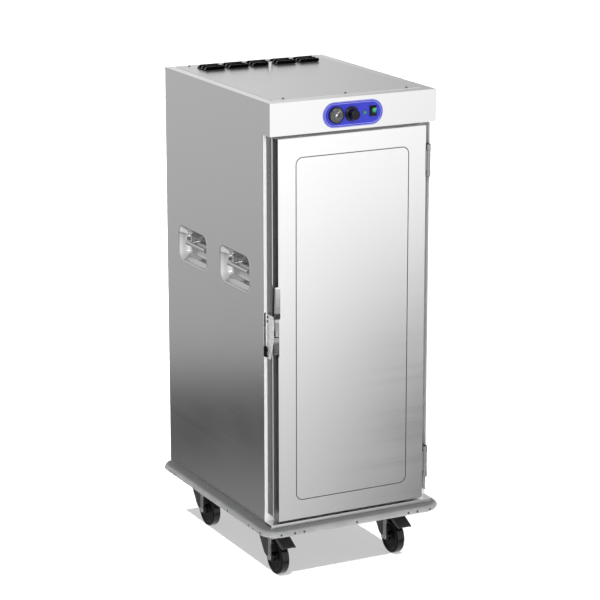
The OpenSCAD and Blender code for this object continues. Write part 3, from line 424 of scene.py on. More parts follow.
@dataclass(frozen=True)
class LitPlastic(Finish):
    """Tinted clear plastic of the lamp and the rocker."""

    colour: Point
    glow: float
    box: Optional[Tuple[Point, Point]] = None  # green in this box's upper right alone; painted shade blackens the rest

    def paint(self, graph: Graph, shader: bpy.types.NodeInputs) -> None:
        """Makes the tint deeper in places, paints shade outside the upper right of a box where
        there is one, and lets it glow faintly.

        Args:
            graph: The material's graph.
            shader: Sockets of its main shader.
        """
        depth = graph.noise(150.0, 2.0, 0.5)
        deep, pale = tinted(self.colour, 0.45), tinted(self.colour, 1.5, 0.01)
        tint = graph.blend(depth.eased(0.3, 0.7), deep, pale)
        # painted shade: outside the box's upper right the tint is blackened
        if self.box:
            low, high = self.box
            across, _, up = graph.axes(graph.place())
            wide, tall = high[0] - low[0], high[2] - low[2]
            right = across.eased(low[0] + wide * 0.22, low[0] + wide * 0.42)
            above = up.eased(low[2] + tall * 0.24, low[2] + tall * 0.44)
            tint = graph.blend(right * above, (0.001, 0.004, 0.003), tint)
        graph.fill(shader, {
            "Base Color": tint,
            "Emission Color": tint,
            "Emission Strength": self.glow,
            "Roughness": depth * 0.10 + 0.12,
            "Coat Weight": 0.6,
            "Normal": graph.bump(depth, 0.10, 0.0004)})


@dataclass(frozen=True)
class ClearWindow(Finish):
    """The thermometer's thin clear window."""

    def paint(self, graph: Graph, shader: bpy.types.NodeInputs) -> None:
        """Keeps the window nearly invisible but for its shine.

        Args:
            graph: The material's graph.
            shader: Sockets of its main shader.
        """
        film = graph.noise(90.0, 4.0, 0.6)
        graph.fill(shader, {
            "Base Color": graph.blend(film, (0.86, 0.9, 0.9), (1.0, 1.0, 1.0)),
            "Roughness": film * 0.06 + 0.03,
            "Alpha": film * 0.03 + 0.02,
            "Specular IOR Level": 0.3})


@dataclass(frozen=True)
class MineralWool(Finish):
    """Yellowish wool batts with a fibrous surface."""

    colour: Point = (0.56, 0.47, 0.24)

    def paint(self, graph: Graph, shader: bpy.types.NodeInputs) -> None:
        """Layers long fibres over soft clumps.

        Args:
            graph: The material's graph.
            shader: Sockets of its main shader.
        """
        fibres = graph.noise((40.0, 300.0, 300.0), 6.0, 0.7)
        crossed = graph.noise((300.0, 40.0, 260.0), 6.0, 0.7)
        clumps = graph.noise(18.0, 4.0, 0.6)
        wool = fibres * 0.4 + crossed * 0.3 + clumps * 0.3
        graph.fill(shader, {
            "Base Color": graph.blend(wool, tinted(self.colour, 0.6), tinted(self.colour, 1.35)),
            "Roughness": clumps * 0.1 + 0.85,
            "Normal": graph.bump(wool, 0.7, 0.003)})


SHEET_SIDE = BrushedSteel("side_sheet_steel", Grain.BACK, 0.60, 0.13, 0.030, 0.03)
SHEET_FRONT = BrushedSteel("front_sheet_steel", Grain.ACROSS, 0.75, 0.17, 0.040, 0.05)
SHEET_DOOR = BrushedSteel("door_sheet_steel", Grain.ACROSS, 0.80, 0.15, 0.055, 0.06)
SHEET_TOP = BrushedSteel("top_sheet_steel", Grain.ACROSS, 0.67, 0.30, 0.030, 0.04)
SHEET_LINER = BrushedSteel("liner_sheet_steel", Grain.BACK, 0.58, 0.30, 0.05)
# painted shade: a dark copy of the door steel for the groove's walls
GROOVE_SHADE = BrushedSteel("pressed_groove_steel", Grain.UP, 0.12, 0.45, 0.05)
# painted shade: a dark copy of the door steel for its side edges
EDGE = BrushedSteel("door_edge_steel", Grain.UP, 0.21, 0.35, 0.05)
# painted light: a pale, mostly unmetallic copy of the sheet steel
PAINTED_LIGHT_STEEL = BrushedSteel("pale_flange_steel", Grain.UP, 0.86, 0.45, 0.03, 0.05, 0.1)
CHASSIS = BrushedSteel("chassis_steel", Grain.ACROSS, 0.30, 0.42, 0.08)
# painted shade: a dark copy of the steel for the guards' sides; GUARD_EDGE is the lit copy for
# their front edges
GUARD = BrushedSteel("guard_steel", Grain.UP, 0.17, 0.36, 0.05)
GUARD_EDGE = BrushedSteel("guard_edge_steel", Grain.UP, 0.62, 0.30, 0.04)
CUP_STEEL = PolishedSteel("pressed_cup_steel", 0.52, 0.15)
# the housing's bands are painted shade under its curved-back nose
SATIN = PolishedSteel("satin_latch_steel", 0.54, 0.24, 0.0, 1.0,
                      ((0.80, 0.872, 0.16), (0.86, 0.90, 0.40)))
# the lever's dark band is painted shadow under its bend, the bright one a painted highlight on its
# tip
LEVER = PolishedSteel("lever_steel", 0.54, 0.24, 0.0, 1.0,
                      ((0.938, 0.966, 0.10), (1.044, 1.07, 1.0)))
KEEPER = PolishedSteel("keeper_plate_steel", 0.62, 0.30, 0.0, 0.5)
CHROME = PolishedSteel("grip_chrome", 0.50, 0.08)
BRIGHT = PolishedSteel("bright_steel", 0.72, 0.12)
SCREW_STEEL = PolishedSteel("dark_screw_steel", 0.12, 0.34)
HINGE_PIN = PolishedSteel("dark_hinge_steel", 0.05, 0.30)
HINGE = PolishedSteel("hinge_steel", 0.34, 0.28, 0.0)
# painted highlight: a lighter copy for the forks' raised ribs
RIB_HIGHLIGHT = PolishedSteel("fork_rib_steel", 0.50, 0.22, 0.02)
# painted highlight: a grey sheen for the black hoods' tops
LOUVRE_HIGHLIGHT = PolishedSteel("louvre_top_steel", 0.30, 0.25, 0.0)
# zinc plating; its low tone also stands as painted shade on the forks' recessed webs
PLATED = PlatedPressing("plated_steel", 0.09, 0.30)
RACK = PlatedPressing("rack_aluminium", 0.70, 0.36)
MOTOR = Moulding("motor_shell_grey", (0.16, 0.17, 0.18), 0.45, 500.0, 0.2, 0.5)
ELEMENT = Moulding("heater_sheath", (0.07, 0.065, 0.06), 0.5, 400.0, 0.25, 0.7)
# the bumper's 0.66 paints shade over its upper faces
BUMPER = Moulding("bumper_vinyl", (0.300, 0.302, 0.306), 0.42, 350.0, 0.12, 0.4, 0.12, 0.66)
TREAD = Moulding("wheel_tread_black", (0.0015, 0.0015, 0.0016), 0.20, 260.0, 0.1, 0.05, 0.35)
WHEEL = Moulding("wheel_side_black", (0.0015, 0.0015, 0.0016), 0.35, 260.0, 0.15, 0.06, 0.12)
BLACK_GLOSS = Moulding("gloss_black_plastic", (0.002, 0.002, 0.0022), 0.14, 600.0, 0.05, 0.05, 0.25)
LOUVRE_BLACK = Moulding("gloss_black_louvre", (0.004, 0.004, 0.0045), 0.16, 600.0, 0.05, 0.1, 0.35)
BLACK_MATT = Moulding("matt_black_plastic", (0.009, 0.009, 0.0095), 0.40, 800.0, 0.2, 0.2, 0.3)
BLACK_RUBBER = Moulding("gasket_rubber", (0.002, 0.002, 0.002), 0.6, 500.0, 0.25, 0.05, 0.08)
DARK_HOLE = Moulding("vent_shadow_black", (0.004, 0.004, 0.004), 0.9, 500.0, 0.05, 0.1, 0.1)
DIAL_GREY = Moulding("dial_plate_grey", (0.012, 0.012, 0.013), 0.5, 900.0, 0.08, 0.1, 0.1)
DIAL_MARKS = Moulding("dial_mark_grey", (0.22, 0.22, 0.23), 0.5, 900.0, 0.05, 0.1, 0.1)
DIAL_NUMBERS = Moulding("dial_number_grey", (0.07, 0.07, 0.075), 0.5, 900.0, 0.05, 0.1, 0.1)
WHITE = Moulding("pointer_white", (0.82, 0.82, 0.80), 0.4, 900.0, 0.05, 0.1)
CERAMIC = Moulding("switch_body_beige", (0.55, 0.50, 0.38), 0.5, 600.0, 0.15, 0.4)
GREEN_LAMP = LitPlastic("lamp_green", (0.002, 0.13, 0.05), 0.10)
WINDOW = ClearWindow("clear_window")
WOOL = MineralWool("mineral_wool")


# -------------------------------------------------------------- mesh helpers


def linked(name: str, data: bpy.types.ID) -> bpy.types.Object:
    """Puts a mesh, light, text or camera into the scene as an object at the origin.

    Args:
        name: The new object's name.
        data: What it holds.

    Returns:
        The object.
    """
    made = bpy.data.objects.new(name, data)
    bpy.context.scene.collection.objects.link(made)
    return made


def kept(name: str, work: bmesh.types.BMesh) -> bpy.types.Mesh:
    """Keeps what a bmesh holds as a plain mesh, and frees it.

    Args:
        name: The mesh's name.
        work: The bmesh.

    Returns:
        The mesh.
    """
    mesh = bpy.data.meshes.new(name)
    work.to_mesh(mesh)
    work.free()
    return mesh


def welded(node: str) -> bmesh.types.BMesh:
    """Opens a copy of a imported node's mesh, its doubled corners made one.

    Args:
        node: The node.

    Returns:
        The copy.
    """
    work = bmesh.new()
    work.from_mesh(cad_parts[node].data)
    bmesh.ops.remove_doubles(work, verts=work.verts, dist=WELD)
    return work


def skinned(work: bmesh.types.BMesh, rings: Sequence[Sequence[bmesh.types.BMVert]],
            *caps: Sequence[bmesh.types.BMVert]) -> None:
    """Spans faces from ring to ring, of which any may be one point, and turns them outward.

    Args:
        work: The bmesh that the corners are in.
        rings: Rings of corners, in order.
        caps: Rings that are closed by a face of their own.
    """
    for low, high in zip(rings, rings[1:]):
        count = max(len(low), len(high))
        for i in range(count):
            j = (i + 1) % count
            corners = (low[i % len(low)], low[j % len(low)],
                       high[j % len(high)], high[i % len(high)])
            unique = list(dict.fromkeys(corners))
            if len(unique) > 2:
                work.faces.new(unique)
    for ring in caps:
        if len(ring) > 2:
            work.faces.new(ring)
    bmesh.ops.recalc_face_normals(work, faces=work.faces)


def evaluated(piece: bpy.types.Object) -> bpy.types.Mesh:
    """Gives an object's final shape as a plain mesh."""
    bpy.context.view_layer.update()
    return bpy.data.meshes.new_from_object(
        piece.evaluated_get(bpy.context.evaluated_depsgraph_get()))


def baked(piece: bpy.types.Object) -> bpy.types.Object:
    """Turns a piece with modifiers into a plain mesh.

    Args:
        piece: The object; its modifiers are removed.

    Returns:
        The same object.
    """
    result = evaluated(piece)
    result.name = piece.name
    piece.modifiers.clear()
    piece.data = result
    return piece


def thickened(piece: bpy.types.Object, thickness: float) -> bpy.types.Modifier:
    """Gives a one-sided shell the thickness of its sheet, inward.

    Args:
        piece: The object.
        thickness: Thickness of the sheet.

    Returns:
        The modifier.
    """
    sheet = piece.modifiers.new("sheet", "SOLIDIFY")
    sheet.thickness = thickness
    sheet.offset = -1.0
    return sheet


def smoothed(piece: bpy.types.Object, degrees: float = 35.0) -> None:
    """Shades faces smooth but for edges sharper than an angle."""
    piece.data.shade_smooth()
    piece.data.set_sharp_from_angle(angle=math.radians(degrees))


def dressed(piece: bpy.types.Object, *finishes: Finish) -> bpy.types.Object:
    """Gives a piece its finishes, one for each of its slots.

    Args:
        piece: The object.
        finishes: The finishes, in place of what it had.

    Returns:
        The same object.
    """
    piece.data.materials.clear()
    for finish in finishes:
        piece.data.materials.append(finish.material())
    return piece


def fitted(piece: bpy.types.Object, body: str, slot: str, *nodes: str) -> bpy.types.Object:
    """Lets a piece ride on its body and hides the nodes it stands for.

    Args:
        piece: The object.
        body: Body that it rides on.
        slot: Material slot of the record; not used.
        nodes: Nodes that it replaces.

    Returns:
        The same object.
    """
    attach(piece, body)
    if nodes:
        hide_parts(*nodes)
    LOG.info("piece %s: %d faces", piece.name, len(piece.data.polygons))
    return piece


def bare(finishes: Dict[str, Finish]) -> None:
    """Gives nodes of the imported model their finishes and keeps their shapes.

    Args:
        finishes: Node to finish.
    """
    for node, finish in finishes.items():
        dressed(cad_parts[node], finish)
        LOG.info("node %s: %s", node, finish.name)


def softened(node: str, body: str, slot: str, finish: Finish, width: float, segments: int = 2,
             accents: Sequence[Tuple[Finish, Test]] = ()) -> bpy.types.Object:
    """Stands in for a node with the same shape, its edges rounded.

    Args:
        node: The node.
        body: Body that it belongs to.
        slot: Material slot of the record.
        finish: Its finish.
        width: Width of the rounding, in metres.
        segments: Steps of the rounding.
        accents: More finishes, each with the test that picks its faces.

    Returns:
        The new piece.
    """
    work = welded(node)
    flat = math.radians(0.5)
    bmesh.ops.dissolve_limit(work, angle_limit=flat, verts=work.verts, edges=work.edges)
    piece = linked(node + "_rounded", kept(node, work))
    piece.data.shade_smooth()
    bevel = piece.modifiers.new("rounding", "BEVEL")
    bevel.width = width
    bevel.segments = segments
    bevel.limit_method = "ANGLE"
    bevel.angle_limit = math.radians(40)
    bevel.use_clamp_overlap = True
    level = piece.modifiers.new("flat_faces", "WEIGHTED_NORMAL")
    level.weight = 100
    level.keep_sharp = False
    dressed(baked(piece), finish, *(other for other, _ in accents))
    for face in piece.data.polygons:
        picked = [i for i, (_, test) in enumerate(accents, 1) if test(face)]
        face.material_index = picked[0] if picked else 0
    return fitted(piece, body, slot, node)


def lathed(name: str, outline: Sequence[Pair], centre: Point, axis: Point,
           steps: int) -> bpy.types.Object:
    """Turns an outline of radius and height about an axis.

    Args:
        name: The new piece's name.
        outline: Radius and height pairs, from one end to the other.
        centre: Point of height 0 on the axis.
        axis: Direction of the heights.
        steps: Steps round the axis.

    Returns:
        The closed piece.
    """
    work = bmesh.new()
    rings = []
    for radius, height in outline:
        angles = [2 * math.pi * i / steps for i in range(steps if radius > 0 else 1)]
        rings.append([work.verts.new((radius * math.cos(a), radius * math.sin(a), height))
                      for a in angles])
    skinned(work, rings, rings[0], rings[-1])
    piece = linked(name, kept(name, work))
    turn = Vector((0, 0, 1)).rotation_difference(Vector(axis)).to_matrix().to_4x4()
    piece.data.transform(Matrix.Translation(Vector(centre)) @ turn)
    smoothed(piece)
    return piece


# ------------------------------------------------------------ repeated pieces


class Rule:
    """A Geometry Nodes tree that is filled by calls, with named inputs."""

    def __init__(self, name: str) -> None:
        """Starts an empty tree with geometry in and out."""
        self.tree = bpy.data.node_groups.new(name, "GeometryNodeTree")
        for way in ("INPUT", "OUTPUT"):
            self.tree.interface.new_socket("Geometry", in_out=way, socket_type="NodeSocketGeometry")
        self.start = self.tree.nodes.new("NodeGroupInput")
        self.end = self.tree.nodes.new("NodeGroupOutput")
        self.values: Dict[str, object] = {}

    def size(self, name: str, kind: str, value: object) -> bpy.types.NodeSocket:
        """Adds a named input.

        Args:
            name: The input's name.
            kind: Its socket type, as in "Float".
            value: The value it is given.

        Returns:
            The input's socket inside the tree.
        """
        kind = "NodeSocket" + kind
        item = self.tree.interface.new_socket(name, in_out="INPUT", socket_type=kind)
        self.values[item.identifier] = value
        return self.start.outputs[name]

    def add(self, kind: str, settings: Optional[dict] = None,
            feeds: Optional[dict] = None) -> bpy.types.NodeSocket:
        """Adds any node.

        Args:
            kind: The node's type.
            settings: Its properties, set first.
            feeds: Socket name or number to value or socket.

        Returns:
            The node's first output.
        """
        made = self.tree.nodes.new(kind)
        for key, value in (settings or {}).items():
            setattr(made, key, value)
        for key, value in (feeds or {}).items():
            socket = made.inputs[key]
            if isinstance(value, bpy.types.NodeSocket):
                self.tree.links.new(value, socket)
            else:
                socket.default_value = value
        return made.outputs[0]

    def maths(self, operation: str, first: object, second: object) -> bpy.types.NodeSocket:
        """Adds a Math node."""
        return self.add("ShaderNodeMath", {"operation": operation}, {0: first, 1: second})

    def vector(self, x: object = 0.0, y: object = 0.0, z: object = 0.0) -> bpy.types.NodeSocket:
        """Makes a vector of three numbers."""
        return self.add("ShaderNodeCombineXYZ", feeds={0: x, 1: y, 2: z})

    def named(self, kind: str, name: str) -> bpy.types.NodeSocket:
        """Reads a named attribute."""
        return self.add("GeometryNodeInputNamedAttribute", {"data_type": kind}, {"Name": name})

    def lifted(self, shape: bpy.types.NodeSocket, height: object) -> bpy.types.NodeSocket:
        """Raises a shape."""
        feeds = {0: shape, "Translation": self.vector(z=height)}
        return self.add("GeometryNodeTransform", feeds=feeds)

    def union(self, *shapes: bpy.types.NodeSocket) -> bpy.types.NodeSocket:
        """Puts shapes together.

        Args:
            shapes: The shapes.

        Returns:
            All of them.
        """
        result = self.add("GeometryNodeJoinGeometry")
        for shape in shapes:
            self.tree.links.new(shape, result.node.inputs[0])
        return result

    def finish(self, geometry: bpy.types.NodeSocket,
               material: Optional[bpy.types.NodeSocket] = None,
               marked: Optional[Tuple[str, bpy.types.NodeSocket]] = None) -> None:
        """Ends the tree with real geometry and its materials.

        Args:
            geometry: What has been made.
            material: Its material, or None to keep what it has.
            marked: Name of a face mark and the material it gets.
        """
        last = self.add("GeometryNodeRealizeInstances", feeds={0: geometry})
        if material:
            feeds = {"Geometry": last, "Material": material}
            last = self.add("GeometryNodeSetMaterial", feeds=feeds)
        if marked:
            feeds = {"Geometry": last, "Selection": self.named("BOOLEAN", marked[0]),
                     "Material": marked[1]}
            last = self.add("GeometryNodeSetMaterial", feeds=feeds)
        self.tree.links.new(last, self.end.inputs[0])

    def grown(self, name: str, mesh: bpy.types.Mesh) -> bpy.types.Object:
        """Runs the tree on a mesh and keeps the result as a plain mesh.

        Args:
            name: The new piece's name.
            mesh: The mesh that goes in.

        Returns:
            The new piece.
        """
        piece = linked(name, mesh)
        modifier = piece.modifiers.new("rule", "NODES")
        modifier.node_group = self.tree
        for identifier, value in self.values.items():
            modifier[identifier] = value
        return baked(piece)


@dataclass
class Site:
    """A place for a repeated piece, the way it faces and its size."""

    place: Point
    way: Point
    size: float


def site_mesh(name: str, sites: Sequence[Site]) -> bpy.types.Mesh:
    """Makes a mesh of loose points that carry their directions and sizes.

    Args:
        name: The mesh's name.
        sites: The sites.

    Returns:
        The mesh, with "facing" and "growth" attributes.
    """
    mesh = bpy.data.meshes.new(name)
    mesh.from_pydata([site.place for site in sites], [], [])
    facing = mesh.attributes.new("facing", "FLOAT_VECTOR", "POINT")
    facing.data.foreach_set("vector", [value for site in sites for value in site.way])
    growth = mesh.attributes.new("growth", "FLOAT", "POINT")
    growth.data.foreach_set("value", [site.size for site in sites])
    return mesh


@dataclass
class ScrewSet:
    """Pan-head screws with a cross recess, one at each site."""

    name: str
    sites: List[Site]
    height: float = 0.0025
    corners: int = 20

    def build(self, body: str) -> None:
        """Grows the screws' heads, of radius 1, by each site's size.

        Args:
            body: Body that they ride on.
        """
        rule = Rule(self.name + "_rule")
        radius = rule.size("Head Radius", "Float", 1.0)
        height = rule.size("Head Height", "Float", self.height)
        steel = rule.size("Steel", "Material", SCREW_STEEL.material())
        dark = rule.size("Recess", "Material", DARK_HOLE.material())
        half = rule.maths("MULTIPLY", height, 0.5)
        quarter = rule.maths("MULTIPLY", height, 0.25)
        upper = rule.maths("MULTIPLY", radius, 0.6)
        thin = rule.maths("MULTIPLY", radius, 0.2)
        rim = rule.add("GeometryNodeMeshCylinder", feeds={
            "Vertices": self.corners, "Radius": radius, "Depth": half})
        dome = rule.add("GeometryNodeMeshCone", feeds={
            "Vertices": self.corners, "Radius Top": upper, "Radius Bottom": radius, "Depth": half})
        bars = [rule.add("GeometryNodeMeshCube", feeds={"Size": rule.vector(x, y, quarter)})
                for x, y in ((radius, thin), (thin, radius))]
        cross = rule.union(*(rule.lifted(bar, height) for bar in bars))
        marked = rule.add("GeometryNodeStoreNamedAttribute", {
            "data_type": "BOOLEAN", "domain": "FACE"}, {
            "Geometry": cross, "Name": "recess", "Value": True})
        head = rule.union(rule.lifted(rim, quarter), rule.lifted(dome, half), marked)
        turn = rule.add("FunctionNodeAlignRotationToVector", {"axis": "Z"}, {
            "Vector": rule.named("FLOAT_VECTOR", "facing")})
        growth = rule.named("FLOAT", "growth")
        screws = rule.add("GeometryNodeInstanceOnPoints", feeds={
            "Points": rule.start.outputs["Geometry"], "Instance": head, "Rotation": turn,
            "Scale": rule.vector(growth, growth, 1.0)})
        rule.finish(screws, steel, ("recess", dark))
        piece = rule.grown(self.name, site_mesh(self.name, self.sites))
        smoothed(piece)
        fitted(piece, body, "bright_steel")


# --------------------------------------------------------------- sub-assembly


@dataclass
class BodyShell:
    """The outer sheets, frame, guards, wool and screws."""

    header_fold: float = 0.0009
    sill_fold: float = 0.0006
    sheet_edge: float = 0.0005
    nut_radius: float = 0.006  # anything wider than this is a bolt with a nut
    head_zone: float = 0.003
    head_sunk: float = 0.0024
    small_head: float = 0.0036
    small_growth: float = 1.35
    growth: float = 1.02

    def build(self) -> None:
        """Dresses the sheets, rounds the folded ones and grows the screws' heads."""
        # the front frame gets painted light
        bare({"side_panels": SHEET_SIDE, "back_panel": SHEET_FRONT, "front_frame": PAINTED_LIGHT_STEEL,
              "inner_liner": SHEET_LINER, "insulation": WOOL, "base_frame": CHASSIS,
              "body_screws": SCREW_STEEL})
        panel = ("cart", "stainless_panel")
        softened("header_box", *panel, SHEET_FRONT, self.header_fold)
        softened("front_sill", *panel, SHEET_FRONT, self.sill_fold)
        softened("top_cover", *panel, SHEET_TOP, self.sheet_edge)
        # painted light on the right guard, painted shade on the guards' sides, the lit copy on
        # their front edges
        accents = [(PAINTED_LIGHT_STEEL, lambda face: face.center.x > 0),
                   (GUARD_EDGE, lambda face: face.normal.y < -0.7)]
        softened("door_guards", "cart", "zinc_steel", GUARD, self.sheet_edge, 2, accents)
        ScrewSet("body_screw_heads", self.screw_sites()).build("cart")

    def screw_sites(self) -> List[Site]:
        """Finds each screw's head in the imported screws.

        Returns:
            Place under each head, the way it faces and its radius.
        """
        work = welded("body_screws")
        sites = []
        seen = set()
        for vert in work.verts:
            if vert in seen:
                continue
            island = [vert]
            seen.add(vert)
            for item in island:
                for edge in item.link_edges:
                    other = edge.other_vert(item)
                    if other not in seen:
                        seen.add(other)
                        island.append(other)
            sites.append(self.head_of([item.co.copy() for item in island]))
        work.free()
        return [site for site in sites if site]

    def head_of(self, points: List[Vector]) -> Optional[Site]:
        """Finds a screw's axis, the end that its head is on and its place.

        Args:
            points: The screw's corners.

        Returns:
            The head's site, or None for a bolt with a nut.
        """
        low, high = (Vector([pick(p[i] for p in points) for i in range(3)]) for pick in (min, max))
        sides = high - low
        axis = max(range(3), key=lambda i: abs(sides[i] - sorted(sides)[1]))
        middle = (low + high) / 2
        others = [i for i in range(3) if i != axis]
        if max(sides[i] for i in others) / 2 > self.nut_radius:
            return None
        ends = []
        for end, step in ((low[axis], -1), (high[axis], 1)):
            near = [p for p in points if abs(p[axis] - end) < self.head_zone]
            ends.append((max(abs(p[i] - middle[i]) for i in others for p in near), end, step))
        reach, end, step = max(ends)
        place, way = list(middle), [0.0, 0.0, 0.0]
        place[axis] = end - step * self.head_sunk
        way[axis] = float(step)
        small = reach < self.small_head and axis == 0
        return Site(tuple(place), tuple(way), reach * (self.small_growth if small else self.growth))


@dataclass
class HandGrips:
    """Four pressed cups in the sides and the bars across them."""

    lip: float = 0.004
    corner: float = 0.034
    least_corner: float = 0.006
    corner_steps: int = 9
    depth: float = 0.0385
    pitch: float = 0.337
    sheet: float = 0.0010
    sunk: float = 0.0008

    def outline(self, wide: float, high: float, corner: float) -> List[Pair]:
        """Walks round a rectangle with round corners.

        Args:
            wide: Half its width.
            high: Half its height.
            corner: Radius of its corners.

        Returns:
            Points round the outline.
        """
        points = []
        for i, (sx, sy) in enumerate(((1, 1), (-1, 1), (-1, -1), (1, -1))):
            for k in range(self.corner_steps + 1):
                angle = math.pi / 2 * (i + k / self.corner_steps)
                points.append((sx * (wide - corner) + corner * math.cos(angle),
                               sy * (high - corner) + corner * math.sin(angle)))
        return points

    def profile(self) -> List[Pair]:
        """Gives the cup's section, from its lip to its floor.

        Returns:
            Growth of the mouth's outline and depth under the side sheet.
        """
        depth = self.depth
        wall = [(-0.0046 - 0.026 * t, 0.0060 + (depth - 0.0105) * t) for t in (0.25, 0.45, 0.62)]
        return [(self.lip, 0.0001), (self.lip * 0.86, -0.0007), (self.lip * 0.3, -0.0008),
                (-0.0012, -0.0004), (-0.0030, 0.0018), (-0.0046, 0.0060), *wall,
                (-0.0225, depth - 0.0055), (-0.0262, depth - 0.0020),
                (-0.0325, depth - 0.0004), (-0.0400, depth)]

    def cup(self, name: str, side: int, middle: Point, wide: float, high: float) -> None:
        """Presses one cup with soft edges.

        Args:
            name: The piece's name.
            side: -1 for the left side and 1 for the right.
            middle: Middle of the cup's mouth, on the side sheet.
            wide: Half the mouth's width.
            high: Half the mouth's height.
        """
        work = bmesh.new()
        rings = []
        for grow, deep in self.profile():
            corner = max(self.least_corner, self.corner + grow * 0.75)
            rings.append([
                work.verts.new((middle[0] - side * deep, middle[1] + along, middle[2] + up))
                for along, up in self.outline(wide + grow, high + grow, corner)])
        skinned(work, rings, rings[-1])
        piece = linked(name, kept(name, work))
        if piece.data.polygons[-1].normal.x * side < 0:
            piece.data.flip_normals()
        thickened(piece, self.sheet)
        smoothed(baked(piece), 50)
        fitted(dressed(piece, CUP_STEEL), "cart", "stainless_panel", "handle_cups")

    def build(self) -> None:
        """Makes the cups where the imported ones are, and dresses the bars."""
        low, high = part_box("handle_cups")
        wide = (high.y - low.y - self.pitch) / 2 - self.lip
        tall = (high.z - low.z) / 2 - self.lip
        for side, word, wall in ((-1, "left", low.x + self.sunk), (1, "right", high.x - self.sunk)):
            for i, end in enumerate(("front", "rear")):
                along = low.y + self.lip + wide + i * self.pitch
                middle = (wall, along, (low.z + high.z) / 2)
                self.cup("grip_cup_%s_%s" % (word, end), side, middle, wide, tall)
        bare({"grip_bars": CHROME})


@dataclass
class Vents:
    """Rows of louvre hoods at the back of the cover, and the vent pipe."""

    columns: int = 5
    rows: int = 3
    column_pitch: float = 0.092
    row_pitch: float = 0.026
    width: float = 0.076
    height: float = 0.014
    length: float = 0.020
    sheet: float = 0.0011
    stations: Tuple[float, ...] = (0.0, 0.12, 0.4, 0.7, 0.9, 1.0)
    sink: float = 0.82
    sink_power: float = 2.2
    taper: float = 0.15
    arc_steps: int = 12
    gauze: float = 0.0006
    gauze_rise: float = 0.0004
    gauze_margin: Pair = (0.008, 0.006)

    def hood(self) -> bpy.types.Mesh:
        """Shapes one hood: a flat-sided mouth that sinks back into the sheet.

        Returns:
            A mesh with its mouth at y 0 and its foot at z 0.
        """
        work = bmesh.new()
        rings = []
        for t in self.stations:
            radius = self.height / 2 * (1.0 - self.sink * t ** self.sink_power)
            half = self.width / 2 - self.height / 2 * (self.taper * t)
            ring = []
            for side, start in ((1, -0.5), (-1, 0.5)):
                for k in range(self.arc_steps + 1):
                    angle = math.pi * (k / self.arc_steps + start)
                    x = side * (half - radius) + radius * math.cos(angle)
                    z = radius + radius * math.sin(angle)
                    ring.append(work.verts.new((x, self.length * t, z)))
            rings.append(ring)
        skinned(work, rings, rings[-1])
        return kept("louvre_hood", work)

    def pale_top(self, face: bpy.types.MeshPolygon) -> bool:
        """Tells whether a face is on a hood's top, which gets a painted highlight."""
        middle = face.center
        return face.normal.z > 0.75 and 0.002 < middle.y < self.length * 0.75 and middle.z > 0.004

    def build(self) -> None:
        """Repeats the hood over the cover."""
        low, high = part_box("vent_louvres")
        shell = linked("louvre_shell", self.hood())
        thickened(shell, self.sheet).material_offset = 1
        mesh = baked(dressed(shell, LOUVRE_BLACK, DARK_HOLE)).data
        # painted highlight on each hood's top
        mesh.materials.append(LOUVRE_HIGHLIGHT.material())
        for face in mesh.polygons:
            if self.pale_top(face):
                face.material_index = 2
        bpy.data.objects.remove(shell)
        rule = Rule("louvre_rule")
        columns = rule.size("Columns", "Int", self.columns)
        rows = rule.size("Rows", "Int", self.rows)
        wide = rule.size("Reach Across", "Float", self.column_pitch * (self.columns - 1))
        deep = rule.size("Reach Back", "Float", self.row_pitch * (self.rows - 1))
        grid = rule.add("GeometryNodeMeshGrid", feeds={
            "Size X": wide, "Size Y": deep, "Vertices X": columns, "Vertices Y": rows})
        rule.finish(rule.add("GeometryNodeInstanceOnPoints", feeds={
            "Points": grid, "Instance": rule.start.outputs["Geometry"]}))
        piece = rule.grown("vent_louvre_hoods", mesh)
        along = low.y + 0.002 + self.row_pitch * (self.rows - 1) / 2
        piece.data.transform(Matrix.Translation(((low.x + high.x) / 2, along, low.z)))
        smoothed(piece, 40)
        fitted(piece, "cart", "dark_steel", "vent_louvres")
        self.wells(low, high)
        bare({"vent_pipe": CHROME})

    def wells(self, low: Vector, high: Vector) -> None:
        """Lays the dark gauze under the louvres.

        Args:
            low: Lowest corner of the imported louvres.
            high: Their highest corner.
        """
        work = bmesh.new()
        middle = (low + high) / 2
        across, back = self.gauze_margin
        scale = Vector((self.width - across, high.y - low.y - back, self.gauze))
        for i in range(self.columns):
            x = middle.x + (i - (self.columns - 1) / 2) * self.column_pitch
            place = Vector((x, middle.y, low.z + self.gauze_rise))
            bmesh.ops.create_cube(work, size=1.0, matrix=Matrix.LocRotScale(place, None, scale))
        piece = dressed(linked("vent_gauze", kept("vent_gauze", work)), DARK_HOLE)
        fitted(piece, "cart", "dark_steel")


